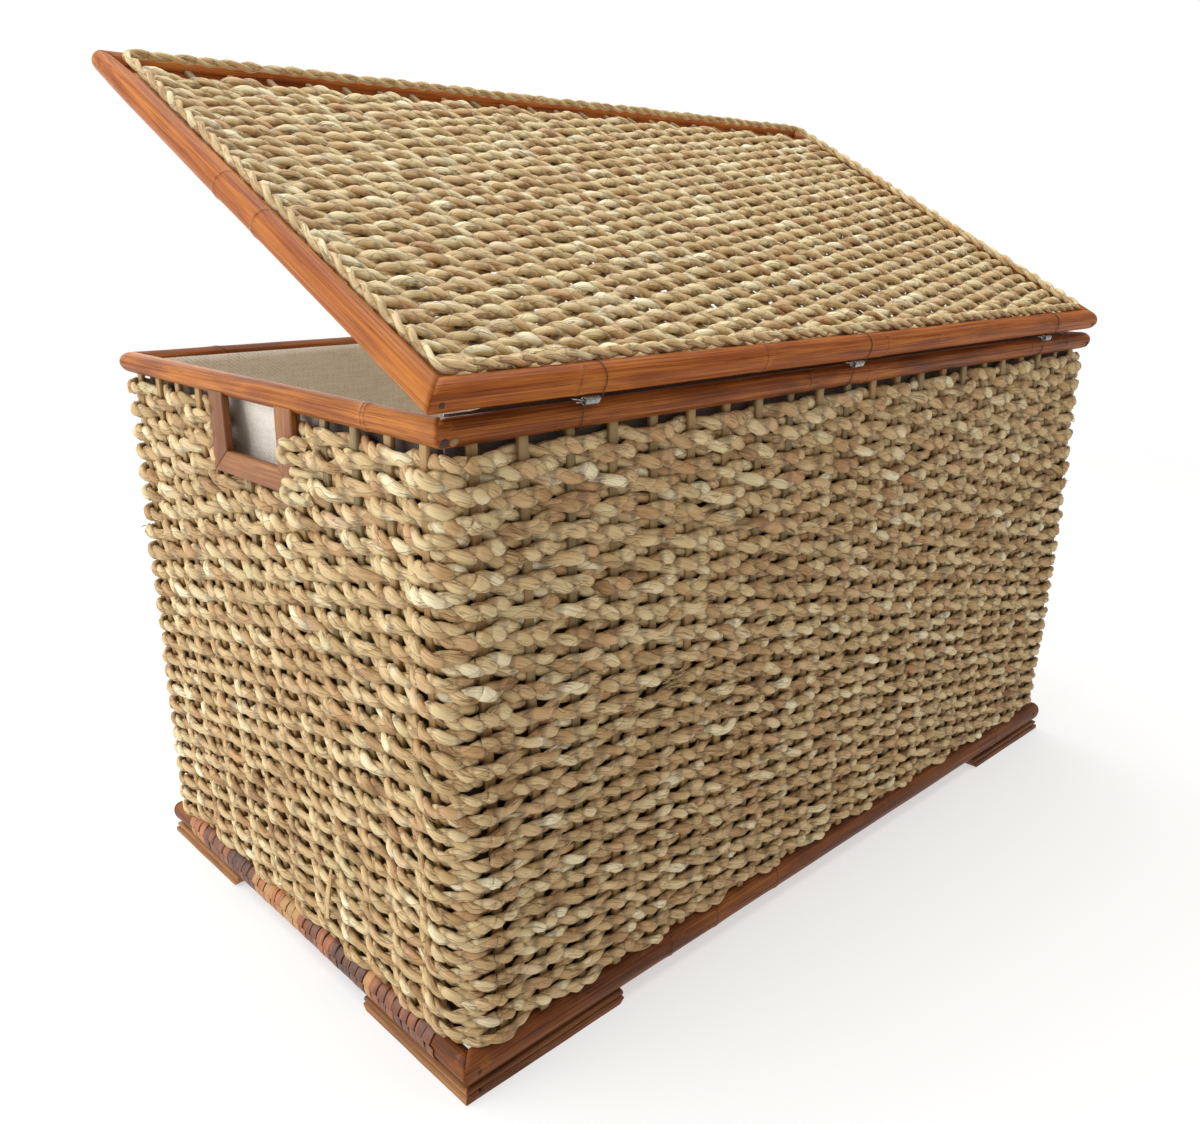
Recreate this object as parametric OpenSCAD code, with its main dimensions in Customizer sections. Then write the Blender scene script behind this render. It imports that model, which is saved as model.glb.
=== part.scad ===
// Wicker storage trunk: rattan pole frames, upright stakes, woven rope walls, cloth lining,
// two hand-holds and a woven lid that turns on three wire hinges along the back.
// Millimetres. +X along the length, +Y to the hinge side, +Z up, origin under the middle on the floor.

/* [Trunk] */
// Length over the rim poles
trunk_length = 900; // [700:10:1100]
// Depth over the rim poles
trunk_depth = 490; // [380:5:600]
// Height of the rim poles' centre line above the floor
rim_height = 490; // [380:5:620]
// How far the base stands out past the rim on every side
base_flare = 14; // [4:1:24]

/* [Poles] */
// Diameter of the rim poles
rim_pole_d = 18.5; // [14:0.5:24]
// Diameter of the base poles
base_pole_d = 19.5; // [14:0.5:24]
// Diameter of the lid poles
lid_pole_d = 21; // [16:0.5:26]
// Thickness of the rattan peel wound round the end base poles
peel_thickness = 0.85; // [0.5:0.05:1.5]
// Width of one turn of peel
peel_width = 9.6; // [5:0.2:12]

/* [Woven walls] */
// Number of rope courses from base to rim
wall_courses = 49; // [30:1:60]
// Thickness of the woven wall
wall_thickness = 17; // [12:0.5:18]
// Radius of the weave's centre line round a top corner
corner_radius = 12; // [10:1:24]
// Spacing of the upright stakes
stake_spacing = 40; // [34:1:50]
// Width of an upright stake
stake_width = 8; // [4:0.5:10]
// Thickness of an upright stake
stake_thickness = 4.5; // [2:0.5:6]

/* [Hand-holds] */
// Width of the hand opening
grip_width = 84; // [70:1:110]
// Height of the hand opening
grip_height = 41; // [32:1:60]
// Width of the two upright frame slats
jamb_width = 24; // [12:1:30]
// Height of the lower frame slat
sill_height = 18; // [10:1:26]

/* [Feet] */
// Height of the bracket feet
foot_height = 18; // [10:1:40]
// Length of a foot board along the trunk's length
foot_long = 165; // [100:5:220]
// Length of a foot board along the trunk's depth
foot_short = 143; // [80:5:180]
// Width of a foot board
foot_width = 22; // [16:1:30]

/* [Lid] */
// How far the lid stands open
lid_open = 26.4; // [0:0.2:100]
// Length over the lid poles
lid_length = 902; // [700:2:1100]
// Shift of the lid towards the right-hand end
lid_shift = 8; // [0:1:12]
// How much shallower the lid frame is than the rim frame
lid_short = 3; // [0:1:10]
// Number of rope courses in the lid
lid_courses = 50; // [40:1:70]
// Diameter of the rope laid round the lid
border_rope_d = 8.5; // [6:0.5:12]
// Spacing of the lid's stakes
lid_stake_spacing = 36; // [30:1:45]

/* [Lining] */
// Thickness of the lining cloth
cloth = 1.5; // [0.8:0.1:2.5]

/* [Hinges] */
// Outer diameter of a hinge coil
coil_d = 5.8; // [4:0.2:6.4]
// Length of a hinge coil
coil_length = 14; // [10:1:24]
// Diameter of the hinge wire
wire = 1.1; // [0.8:0.1:1.6]
// Position of the first hinge along the length
hinge_a = 328; // [300:1:335]
// Position of the middle hinge
hinge_b = 20; // [0:1:28]
// Position of the last hinge
hinge_c = -335; // [-345:1:-320]

/* [Hidden] */
$fn = 48;

rim_r = rim_pole_d / 2;
base_r = base_pole_d / 2;
lid_r = lid_pole_d / 2;
rim_x = trunk_length / 2 - rim_r;
rim_y = trunk_depth / 2 - rim_r;
base_out_x = trunk_length / 2 + base_flare;
base_out_y = trunk_depth / 2 + base_flare;
base_x = base_out_x - base_r;
base_y = base_out_y - base_r;
base_z = foot_height + base_r;
lean = atan((base_x - rim_x) / (rim_height - base_z));
corner_x = rim_x - corner_radius;
corner_y = rim_y - corner_radius;

weave_bottom = base_z + base_r + 0.6;
weave_top = rim_height - rim_r - 0.2;
course_pitch = (weave_top - weave_bottom) / wall_courses / cos(lean);
lobe_r = course_pitch / 2;
lobe_shift = wall_thickness / 2 - lobe_r;
core_half = lobe_shift + 1.2;

stake_in_rim = 6;
stake_length = (rim_height - base_z) / cos(lean) - 2 * 3;
stakes_long = 2 * floor((corner_x - 8) / stake_spacing) + 2;
stakes_short = 12;
end_spacing = stake_spacing;

frame_bottom = weave_top - grip_height - sill_height;
grip_half = grip_width / 2;
frame_half = grip_half + jamb_width;
slat_face = 8.5;
slat_back = stake_thickness / 2 + 0.2;

lining_x = rim_x - rim_r - 0.4;
lining_y = rim_y - rim_r - 0.4;
lining_top = rim_height + 3;
floor_top = weave_bottom + 2;
panel_thickness = 5;
panel_cut = 14;
batten_height = 12;
batten_width = 30;

axis_y = trunk_depth / 2;
axis_z = rim_height + rim_r + 0.25;
lid_pole_y = -rim_r;
lid_pole_z = lid_r + 0.25;
lid_x = lid_length / 2 - lid_r;
lid_span = 2 * rim_y - lid_short;
lid_front_y = lid_pole_y - lid_span;
lid_mid_y = (lid_pole_y + lid_front_y) / 2;
lid_half = lid_span / 2;
lid_weave_back = lid_pole_y - lid_r - 1.5;
lid_weave_front = lid_front_y + lid_r + 15;
lid_pitch = (lid_weave_back - lid_weave_front) / lid_courses;
lid_lobe_r = lid_pitch / 2;
lid_lobe_shift = 2;
lid_stake_count = 24;
rope_offset = (lid_r + border_rope_d / 2 + 0.3) * sin(45);
pin_r = 0.95;
bore_r = 1.0;

module pole_x(r, length) {
    rotate([0, 90, 0]) cylinder(h = length, r = r, center = true);
}

module pole_y(r, length) {
    rotate([90, 0, 0]) cylinder(h = length, r = r, center = true);
}

// Pole along X at the +Y side of a frame, cut to a mitre at both ends.
module mitred_x(half_x, r) {
    intersection() {
        pole_x(r, 2 * half_x + 4 * r);
        translate([0, 0, -r - 1])
            linear_extrude(2 * r + 2)
                polygon([[-half_x + r + 1, -r - 1], [half_x - r - 1, -r - 1],
                         [half_x + r + 1, r + 1], [-half_x - r - 1, r + 1]]);
    }
}

// Pole along Y at the +X side of a frame, cut to a mitre at both ends.
module mitred_y(half_y, r) {
    mirror([1, -1, 0]) mitred_x(half_y, r);
}

// Stack of rope courses, drawn across the wall (x) and up it (y).
module course_stack(count, pitch, r, shift, core) {
    for (i = [0 : count - 1]) {
        translate([shift, (i + 0.5) * pitch]) circle(r = r);
        translate([-shift, (i + 0.5) * pitch]) circle(r = r);
    }
    translate([-core, 0.05]) square([2 * core, count * pitch - 0.1]);
}

// Section of the leaning wall, measured out from the corner centre.
module wall_section() {
    low = corner_radius + (rim_height - weave_bottom) * tan(lean);
    translate([low, weave_bottom])
        rotate(lean)
            course_stack(wall_courses, course_pitch, lobe_r, lobe_shift, core_half);
}

module long_wall() {
    translate([0, corner_y, 0])
        rotate([90, 0, 90])
            linear_extrude(2 * corner_x, center = true) wall_section();
}

// Local frame of the +X end wall: x out of the wall, z up along its lean, origin on the rim's centre.
module on_end_wall() {
    translate([rim_x, 0, rim_height]) rotate([0, -lean, 0]) children();
}

module end_wall() {
    drop = (rim_height - frame_bottom) / cos(lean);
    difference() {
        union() {
            translate([corner_x, 0, 0])
                rotate([90, 0, 0])
                    linear_extrude(2 * corner_y, center = true) wall_section();
            translate([corner_x, corner_y, 0]) rotate_extrude(angle = 90) wall_section();
            mirror([0, 1, 0])
                translate([corner_x, corner_y, 0]) rotate_extrude(angle = 90) wall_section();
        }
        on_end_wall() {
            translate([-wall_thickness, -grip_half, -drop + sill_height])
                cube([2 * wall_thickness, grip_width, drop]);
            translate([slat_back - 0.2, -frame_half - 0.3, -drop - 0.3])
                cube([wall_thickness, 2 * frame_half + 0.6, drop + 5]);
        }
    }
}

module stake(length) {
    translate([-stake_width / 2, -stake_thickness / 2, -length])
        cube([stake_width, stake_thickness, length]);
}

module long_stakes() {
    for (i = [0 : stakes_long - 1])
        translate([(i - (stakes_long - 1) / 2) * stake_spacing, rim_y, rim_height])
            rotate([lean, 0, 0])
                translate([0, 0, -3]) stake(stake_length);
}

module end_stakes() {
    for (i = [0 : stakes_short - 1]) {
        at = (i - (stakes_short - 1) / 2) * end_spacing;
        cut = abs(at) < grip_half ? rim_height - frame_bottom + 1 : 3;
        on_end_wall()
            translate([0, at, -cut])
                rotate([0, 0, 90]) stake(stake_length - cut + 3);
    }
}

// Foot board with its outer corner at the origin, running along -X, two-step outer face.
module foot_board(length) {
    tall = foot_height + 2.5;
    round_r = 12;
    intersection() {
        rotate([90, 0, -90])
            linear_extrude(length)
                polygon([[0, 0], [0, 8.6], [1.4, 10], [3, 10.4], [3, 11.6], [1.6, 12.2],
                         [1.6, tall], [foot_width, tall], [foot_width, 0]]);
        linear_extrude(tall)
            polygon([[0, 0], [-length, 0], [-length, -foot_width], [-foot_width, -foot_width]]);
        rotate([90, 0, 0])
            linear_extrude(foot_width)
                union() {
                    translate([-length + round_r, 0]) square([length - round_r, tall]);
                    translate([-length, round_r]) square([length, tall - round_r]);
                    translate([-length + round_r, round_r]) circle(r = round_r);
                }
    }
}

module long_foot() {
    difference() {
        translate([base_out_x, base_out_y, 0]) foot_board(foot_long);
        translate([0, base_y, base_z]) pole_x(base_r, 4 * base_out_x);
        translate([base_x, 0, base_z]) pole_y(base_r, 4 * base_out_y);
    }
}

module end_foot() {
    difference() {
        translate([base_out_x, base_out_y, 0]) mirror([1, -1, 0]) foot_board(foot_short);
        translate([0, base_y, base_z]) pole_x(base_r, 4 * base_out_x);
        translate([base_x, 0, base_z]) pole_y(base_r, 4 * base_out_y);
    }
}

// Turns of peel round the end base pole, as close rings.
module peel_turns(outer) {
    step = peel_width + 1.2;
    count = floor((2 * base_y - 60) / step);
    for (i = [0 : count - 1])
        translate([base_x, (i - (count - 1) / 2) * step, base_z])
            difference() {
                pole_y(outer, peel_width);
                pole_y(base_r - peel_thickness, peel_width + 2);
            }
}

module end_base_rail() {
    difference() {
        translate([base_x, 0, base_z]) mitred_y(base_y, base_r);
        peel_turns(base_r + 2);
    }
}

module handle_slat(points) {
    difference() {
        on_end_wall()
            translate([slat_back, 0, -(rim_height - frame_bottom) / cos(lean)])
                rotate([90, 0, 90])
                    linear_extrude(slat_face - slat_back) polygon(points);
        translate([rim_x, 0, rim_height]) pole_y(rim_r, trunk_depth);
    }
}

module handle_sill() {
    handle_slat([[-frame_half, 0], [frame_half, 0],
                 [grip_half, sill_height], [-grip_half, sill_height]]);
}

module handle_jamb() {
    top = grip_height + sill_height + 5;
    handle_slat([[frame_half, 0], [frame_half, top], [grip_half, top], [grip_half, sill_height]]);
}

// The cloth tube leans out like the walls, and its corners are cut off inside the rounded rope corners.
function lining_spread(z) = (lining_top - z) * tan(lean);
function lining_cut(z) = 1 + 0.73 * lining_spread(z);

function long_ring(z) =
    let (x = lining_x + lining_spread(z), y = lining_y + lining_spread(z), c = lining_cut(z))
    [[x, y - c], [x - c, y], [c - x, y], [-x, y - c],
     [1.414 * cloth - x, y - c], [c + 0.414 * cloth - x, y - cloth],
     [x - c - 0.414 * cloth, y - cloth], [x - 1.414 * cloth, y - c]];

function end_ring(z) =
    let (x = lining_x + lining_spread(z), half = lining_y + lining_spread(z) - lining_cut(z) - 0.1)
    [[x - cloth, -half], [x, -half], [x, half], [x - cloth, half]];

module cloth_prism(low, high) {
    n = len(low);
    polyhedron(points = concat([for (p = low) [p[0], p[1], floor_top + 0.1]],
                               [for (p = high) [p[0], p[1], lining_top]]),
               faces = concat([[for (i = [0 : n - 1]) i]], [[for (i = [0 : n - 1]) 2 * n - 1 - i]],
                              [for (i = [0 : n - 1]) [i, n + i, n + (i + 1) % n, (i + 1) % n]]));
}

module long_lining() {
    cloth_prism(long_ring(floor_top + 0.1), long_ring(lining_top));
}

module end_lining() {
    cloth_prism(end_ring(floor_top + 0.1), end_ring(lining_top));
}

// Wire strap: from an eye on the hinge axis, up the outside of a pole centred at [-cy, cz] and over it.
module strap(cy, cz, r, eye_r) {
    ring_r = r + wire;
    span = norm([cy, cz]);
    n = [-(ring_r - eye_r) / span, -sqrt(1 - pow((ring_r - eye_r) / span, 2))];
    far = 4 * r;
    rotate([90, 0, 90])
        linear_extrude(wire)
            union() {
                circle(r = eye_r);
                rotate(atan2(cz, -cy))
                    polygon([eye_r * n, [span, 0] + ring_r * n,
                             [span, 0] + r * n, (eye_r - wire) * n]);
                difference() {
                    translate([-cy, cz]) circle(r = ring_r);
                    translate([-cy, cz]) circle(r = r);
                    translate([-cy, cz])
                        polygon([[0, 0], far * [cos(8), -sin(8)], [far, -far], [-far, -far], [-far, 0]]);
                }
            }
}

module hinge_coil(x) {
    translate([x, axis_y, axis_z])
        difference() {
            union() {
                pole_x(coil_d / 2, coil_length);
                translate([coil_length / 2 - 0.2, 0, 0])
                    mirror([0, 0, 1]) strap(rim_r, rim_r + 0.25, rim_r, bore_r + wire + 0.3);
            }
            pole_x(bore_r, 2 * coil_length);
        }
}

module hinge_pin(x) {
    tail = 8;
    at_lid()
        translate([x, 0, 0]) {
            translate([tail / 2 - 1, 0, 0]) pole_x(pin_r, coil_length + tail + 2);
            translate([-coil_length / 2 - wire - 0.3, 0, 0])
                strap(-lid_pole_y, lid_pole_z, lid_r, pin_r + 0.8);
        }
}

// Frame of the lid: origin on the hinge axis, -Y to the front, turned open.
module at_lid() {
    translate([0, axis_y, axis_z]) rotate([-lid_open, 0, 0]) children();
}

module nail(head_d) {
    rotate([-90, 0, 0]) translate([0, 0, -5]) cylinder(h = 5.6, d = head_d);
}

module rim_front() {
    mirror([0, 1, 0]) rim_back();
}

module rim_back() {
    color([0.60, 0.31, 0.13]) translate([0, rim_y, rim_height]) mitred_x(rim_x, rim_r);
}

module rim_left() {
    mirror([1, 0, 0]) rim_right();
}

module rim_right() {
    color([0.64, 0.34, 0.15]) translate([rim_x, 0, rim_height]) mitred_y(rim_y, rim_r);
}

module base_rail_front() {
    mirror([0, 1, 0]) base_rail_back();
}

module base_rail_back() {
    color([0.52, 0.25, 0.11]) translate([0, base_y, base_z]) mitred_x(base_x, base_r);
}

module base_rail_left() {
    mirror([1, 0, 0]) base_rail_right();
}

module base_rail_right() {
    color([0.56, 0.28, 0.13]) end_base_rail();
}

module base_wrap_left() {
    mirror([1, 0, 0]) base_wrap_right();
}

module base_wrap_right() {
    color([0.70, 0.42, 0.20]) peel_turns(base_r);
}

module foot_long_fl() {
    mirror([1, 0, 0]) foot_long_fr();
}

module foot_long_fr() {
    mirror([0, 1, 0]) foot_long_br();
}

module foot_long_bl() {
    mirror([1, 0, 0]) foot_long_br();
}

module foot_long_br() {
    color([0.50, 0.27, 0.13]) long_foot();
}

module foot_end_fl() {
    mirror([1, 0, 0]) foot_end_fr();
}

module foot_end_fr() {
    mirror([0, 1, 0]) foot_end_br();
}

module foot_end_bl() {
    mirror([1, 0, 0]) foot_end_br();
}

module foot_end_br() {
    color([0.62, 0.38, 0.20]) end_foot();
}

module floor_panel() {
    x = base_x - base_r - 1;
    y = base_y - base_r - 1;
    color([0.76, 0.60, 0.40])
        translate([0, 0, floor_top - panel_thickness])
            linear_extrude(panel_thickness)
                polygon([for (a = [[1, 1], [-1, 1], [-1, -1], [1, -1]], b = a[0] * a[1] > 0 ? [0, 1] : [1, 0])
                         [a[0] * (x - b * panel_cut), a[1] * (y - (1 - b) * panel_cut)]]);
}

module floor_battens() {
    color([0.66, 0.48, 0.28])
        difference() {
            for (x = [-trunk_length / 3, 0, trunk_length / 3])
                translate([x, 0, floor_top - panel_thickness - batten_height / 2])
                    cube([batten_width, 2 * base_y - 8, batten_height], center = true);
            for (s = [-1, 1])
                translate([0, s * base_y, base_z]) pole_x(base_r, trunk_length);
        }
}

module stakes_front() {
    mirror([0, 1, 0]) stakes_back();
}

module stakes_back() {
    color([0.60, 0.55, 0.30]) long_stakes();
}

module stakes_left() {
    mirror([1, 0, 0]) stakes_right();
}

module stakes_right() {
    color([0.62, 0.52, 0.30]) end_stakes();
}

module weave_front() {
    mirror([0, 1, 0]) weave_back();
}

module weave_back() {
    color([0.74, 0.65, 0.47]) long_wall();
}

module weave_left() {
    mirror([1, 0, 0]) weave_right();
}

module weave_right() {
    color([0.80, 0.71, 0.53]) end_wall();
}

module handle_left_sill() {
    mirror([1, 0, 0]) handle_right_sill();
}

module handle_left_jamb_front() {
    mirror([1, 0, 0]) handle_right_jamb_front();
}

module handle_left_jamb_back() {
    mirror([1, 0, 0]) handle_right_jamb_back();
}

module handle_right_sill() {
    color([0.74, 0.45, 0.22]) handle_sill();
}

module handle_right_jamb_front() {
    mirror([0, 1, 0]) handle_right_jamb_back();
}

module handle_right_jamb_back() {
    color([0.72, 0.43, 0.21]) handle_jamb();
}

module lining_front() {
    mirror([0, 1, 0]) lining_back();
}

module lining_back() {
    color([0.72, 0.68, 0.60]) long_lining();
}

module lining_left() {
    mirror([1, 0, 0]) lining_right();
}

module lining_right() {
    color([0.72, 0.68, 0.60]) end_lining();
}

module lining_floor() {
    x = lining_x + lining_spread(floor_top) - cloth - 0.3;
    y = lining_y + lining_spread(floor_top) - cloth - 0.3;
    c = lining_cut(floor_top);
    color([0.70, 0.66, 0.58])
        translate([0, 0, floor_top + 0.05])
            linear_extrude(cloth)
                polygon([for (a = [[1, 1], [-1, 1], [-1, -1], [1, -1]], b = a[0] * a[1] > 0 ? [0, 1] : [1, 0])
                         [a[0] * (x - b * c), a[1] * (y - (1 - b) * c)]]);
}

module hinge_coil_a() {
    color([0.55, 0.55, 0.56]) hinge_coil(hinge_a);
}

module hinge_coil_b() {
    color([0.55, 0.55, 0.56]) hinge_coil(hinge_b);
}

module hinge_coil_c() {
    color([0.55, 0.55, 0.56]) hinge_coil(hinge_c);
}

module frame_nails() {
    color([0.25, 0.17, 0.11])
        for (sx = [0, 1], sy = [0, 1])
            mirror([sx, 0, 0])
                mirror([0, sy, 0]) {
                    for (x = [rim_x - 6, rim_x + 1])
                        translate([x, rim_y, rim_height]) rotate([-30, 0, 0])
                            translate([0, rim_r, 0]) nail(5.5);
                    translate([base_x - 4, base_out_y, base_z - 3]) nail(4);
                    translate([base_out_x - 14, base_out_y - 0.2, 4.5]) nail(3);
                }
}

module lid_rail_front() {
    color([0.62, 0.32, 0.14])
        at_lid()
            translate([lid_shift, lid_front_y, lid_pole_z]) mirror([0, 1, 0]) mitred_x(lid_x, lid_r);
}

module lid_rail_back() {
    color([0.60, 0.31, 0.13])
        at_lid() translate([lid_shift, lid_pole_y, lid_pole_z]) mitred_x(lid_x, lid_r);
}

module lid_rail_left() {
    color([0.62, 0.33, 0.15])
        at_lid()
            translate([lid_shift - lid_x, lid_mid_y, lid_pole_z])
                mirror([1, 0, 0]) mitred_y(lid_half, lid_r);
}

module lid_rail_right() {
    color([0.64, 0.34, 0.15])
        at_lid() translate([lid_shift + lid_x, lid_mid_y, lid_pole_z]) mitred_y(lid_half, lid_r);
}

module lid_stakes() {
    color([0.64, 0.50, 0.28])
        at_lid()
            for (i = [0 : lid_stake_count - 1])
                translate([lid_shift + (i - (lid_stake_count - 1) / 2) * lid_stake_spacing,
                           lid_mid_y, lid_pole_z])
                    cube([6, lid_span - 8, 3.2], center = true);
}

module lid_weave() {
    color([0.80, 0.70, 0.50])
        at_lid()
            translate([lid_shift, lid_weave_front, lid_pole_z])
                rotate([90, 0, 90])
                    linear_extrude(2 * (lid_x - lid_r - 2), center = true)
                        rotate(-90)
                            course_stack(lid_courses, lid_pitch, lid_lobe_r, lid_lobe_shift,
                                         lid_lobe_shift + 1);
}

module lid_border_rope() {
    half_x = lid_x - rope_offset;
    half_y = lid_half - rope_offset;
    r = border_rope_d / 2;
    color([0.78, 0.66, 0.46])
        at_lid()
            translate([lid_shift, lid_mid_y, lid_pole_z + rope_offset]) {
                translate([0, half_y, 0]) pole_x(r, 2 * half_x - 24);
                translate([0, -half_y, 0]) pole_x(r, 2 * half_x - 24);
                translate([half_x, 0, 0]) pole_y(r, 2 * half_y - 24);
                translate([-half_x, 0, 0]) pole_y(r, 2 * half_y - 24);
                for (sx = [0, 1], sy = [0, 1])
                    mirror([sx, 0, 0])
                        mirror([0, sy, 0])
                            translate([half_x - 12, half_y - 12, 0])
                                rotate_extrude(angle = 90) translate([12, 0]) circle(r = r);
            }
}

module lid_edge_strip() {
    color([0.80, 0.56, 0.28])
        at_lid()
            translate([lid_shift, (lid_weave_front + lid_front_y + lid_r) / 2 - 1, lid_pole_z - 3.4])
                cube([2 * (lid_x - lid_r - 1), 10, 3], center = true);
}

module hinge_pin_a() {
    color([0.62, 0.62, 0.63]) hinge_pin(hinge_a);
}

module hinge_pin_b() {
    color([0.62, 0.62, 0.63]) hinge_pin(hinge_b);
}

module hinge_pin_c() {
    color([0.62, 0.62, 0.63]) hinge_pin(hinge_c);
}

module lid_nails() {
    color([0.25, 0.17, 0.11])
        at_lid()
            translate([lid_shift, lid_mid_y, lid_pole_z])
                for (sx = [0, 1], sy = [0, 1])
                    mirror([sx, 0, 0])
                        mirror([0, sy, 0])
                            translate([lid_x + 1, lid_half + lid_r, 0]) nail(4);
}

rim_front();
rim_back();
rim_left();
rim_right();
base_rail_front();
base_rail_back();
base_rail_left();
base_rail_right();
base_wrap_left();
base_wrap_right();
foot_long_fl();
foot_long_fr();
foot_long_bl();
foot_long_br();
foot_end_fl();
foot_end_fr();
foot_end_bl();
foot_end_br();
floor_panel();
floor_battens();
stakes_front();
stakes_back();
stakes_left();
stakes_right();
weave_front();
weave_back();
weave_left();
weave_right();
handle_left_sill();
handle_left_jamb_front();
handle_left_jamb_back();
handle_right_sill();
handle_right_jamb_front();
handle_right_jamb_back();
lining_front();
lining_back();
lining_left();
lining_right();
lining_floor();
hinge_coil_a();
hinge_coil_b();
hinge_coil_c();
frame_nails();
lid_rail_front();
lid_rail_back();
lid_rail_left();
lid_rail_right();
lid_stakes();
lid_weave();
lid_border_rope();
lid_edge_strip();
hinge_pin_a();
hinge_pin_b();
hinge_pin_c();
lid_nails();
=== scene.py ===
import math
import bpy
import numpy as np
from mathutils import Matrix, Vector


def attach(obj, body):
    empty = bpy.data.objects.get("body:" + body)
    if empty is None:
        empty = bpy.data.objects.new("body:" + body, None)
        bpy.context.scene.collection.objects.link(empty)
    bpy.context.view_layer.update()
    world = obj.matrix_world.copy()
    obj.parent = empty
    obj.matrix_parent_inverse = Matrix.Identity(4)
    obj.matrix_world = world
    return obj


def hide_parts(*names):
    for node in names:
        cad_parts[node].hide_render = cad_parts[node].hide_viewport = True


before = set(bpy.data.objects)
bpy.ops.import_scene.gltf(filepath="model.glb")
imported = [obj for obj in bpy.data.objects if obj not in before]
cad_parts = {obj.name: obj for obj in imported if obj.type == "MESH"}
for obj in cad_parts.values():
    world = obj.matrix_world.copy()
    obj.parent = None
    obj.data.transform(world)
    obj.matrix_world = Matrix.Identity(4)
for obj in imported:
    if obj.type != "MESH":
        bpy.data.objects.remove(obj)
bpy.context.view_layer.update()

MM = 0.001

# ---------------------------------------------------------------- sizes, in mm, as in the CAD model
RIM_X, RIM_Y, RIM_Z, RIM_R = 440.75, 235.75, 490.0, 9.25
BASE_X, BASE_Y, BASE_Z, BASE_R = 454.25, 249.25, 27.75, 9.75
BASE_OUT_X, BASE_OUT_Y = 464.0, 259.0
BASE_MID, BASE_TALL = 23.7, 1.42  # the rail is a deep oval that reaches lower than the CAD's round pole
LEAN = (BASE_X - RIM_X) / (RIM_Z - BASE_Z)
CORNER_X, CORNER_Y, CORNER_R = 428.75, 223.75, 12.0
WEAVE_LOW, WEAVE_TOP = 38.1, 475.0
COURSES = 49
STAKES_LONG, LONG_STEP = 22, 40.0
STAKES_END, END_STEP = 12, 40.0
GRIP_HALF, FRAME_HALF = 42.0, 66.0
GRIP_H, SILL_H = 41.0, 18.0
FRAME_LOW = RIM_Z - RIM_R - 0.2 - GRIP_H - SILL_H
AXIS_Y, AXIS_Z, OPEN = 245.0, 499.5, math.radians(26.4)
LID_R, LID_X, LID_SHIFT = 10.5, 440.5, 8.0
LID_PY, LID_PZ = -9.25, 10.75
LID_SPAN = 2 * RIM_Y - 3.0
LID_FY = LID_PY - LID_SPAN
LID_MY = (LID_PY + LID_FY) / 2
LID_HALF = LID_SPAN / 2
LID_W_BACK, LID_W_FRONT = LID_PY - LID_R - 1.5, LID_FY + LID_R + 15
LID_COURSES = 50
LID_STAKES, LID_STEP = 24, 36.0
HINGES = {"a": 328.0, "b": 20.0, "c": -335.0}

LID_M = Matrix.Translation((0, AXIS_Y * MM, AXIS_Z * MM)) @ Matrix.Rotation(-OPEN, 4, "X")
LID_A = np.array(LID_M)


def to_lid(points):
    """Closed-lid coordinates in mm, from the hinge axis, to the frame's metres."""
    p = np.asarray(points) * MM
    return p @ LID_A[:3, :3].T + LID_A[:3, 3]


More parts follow.
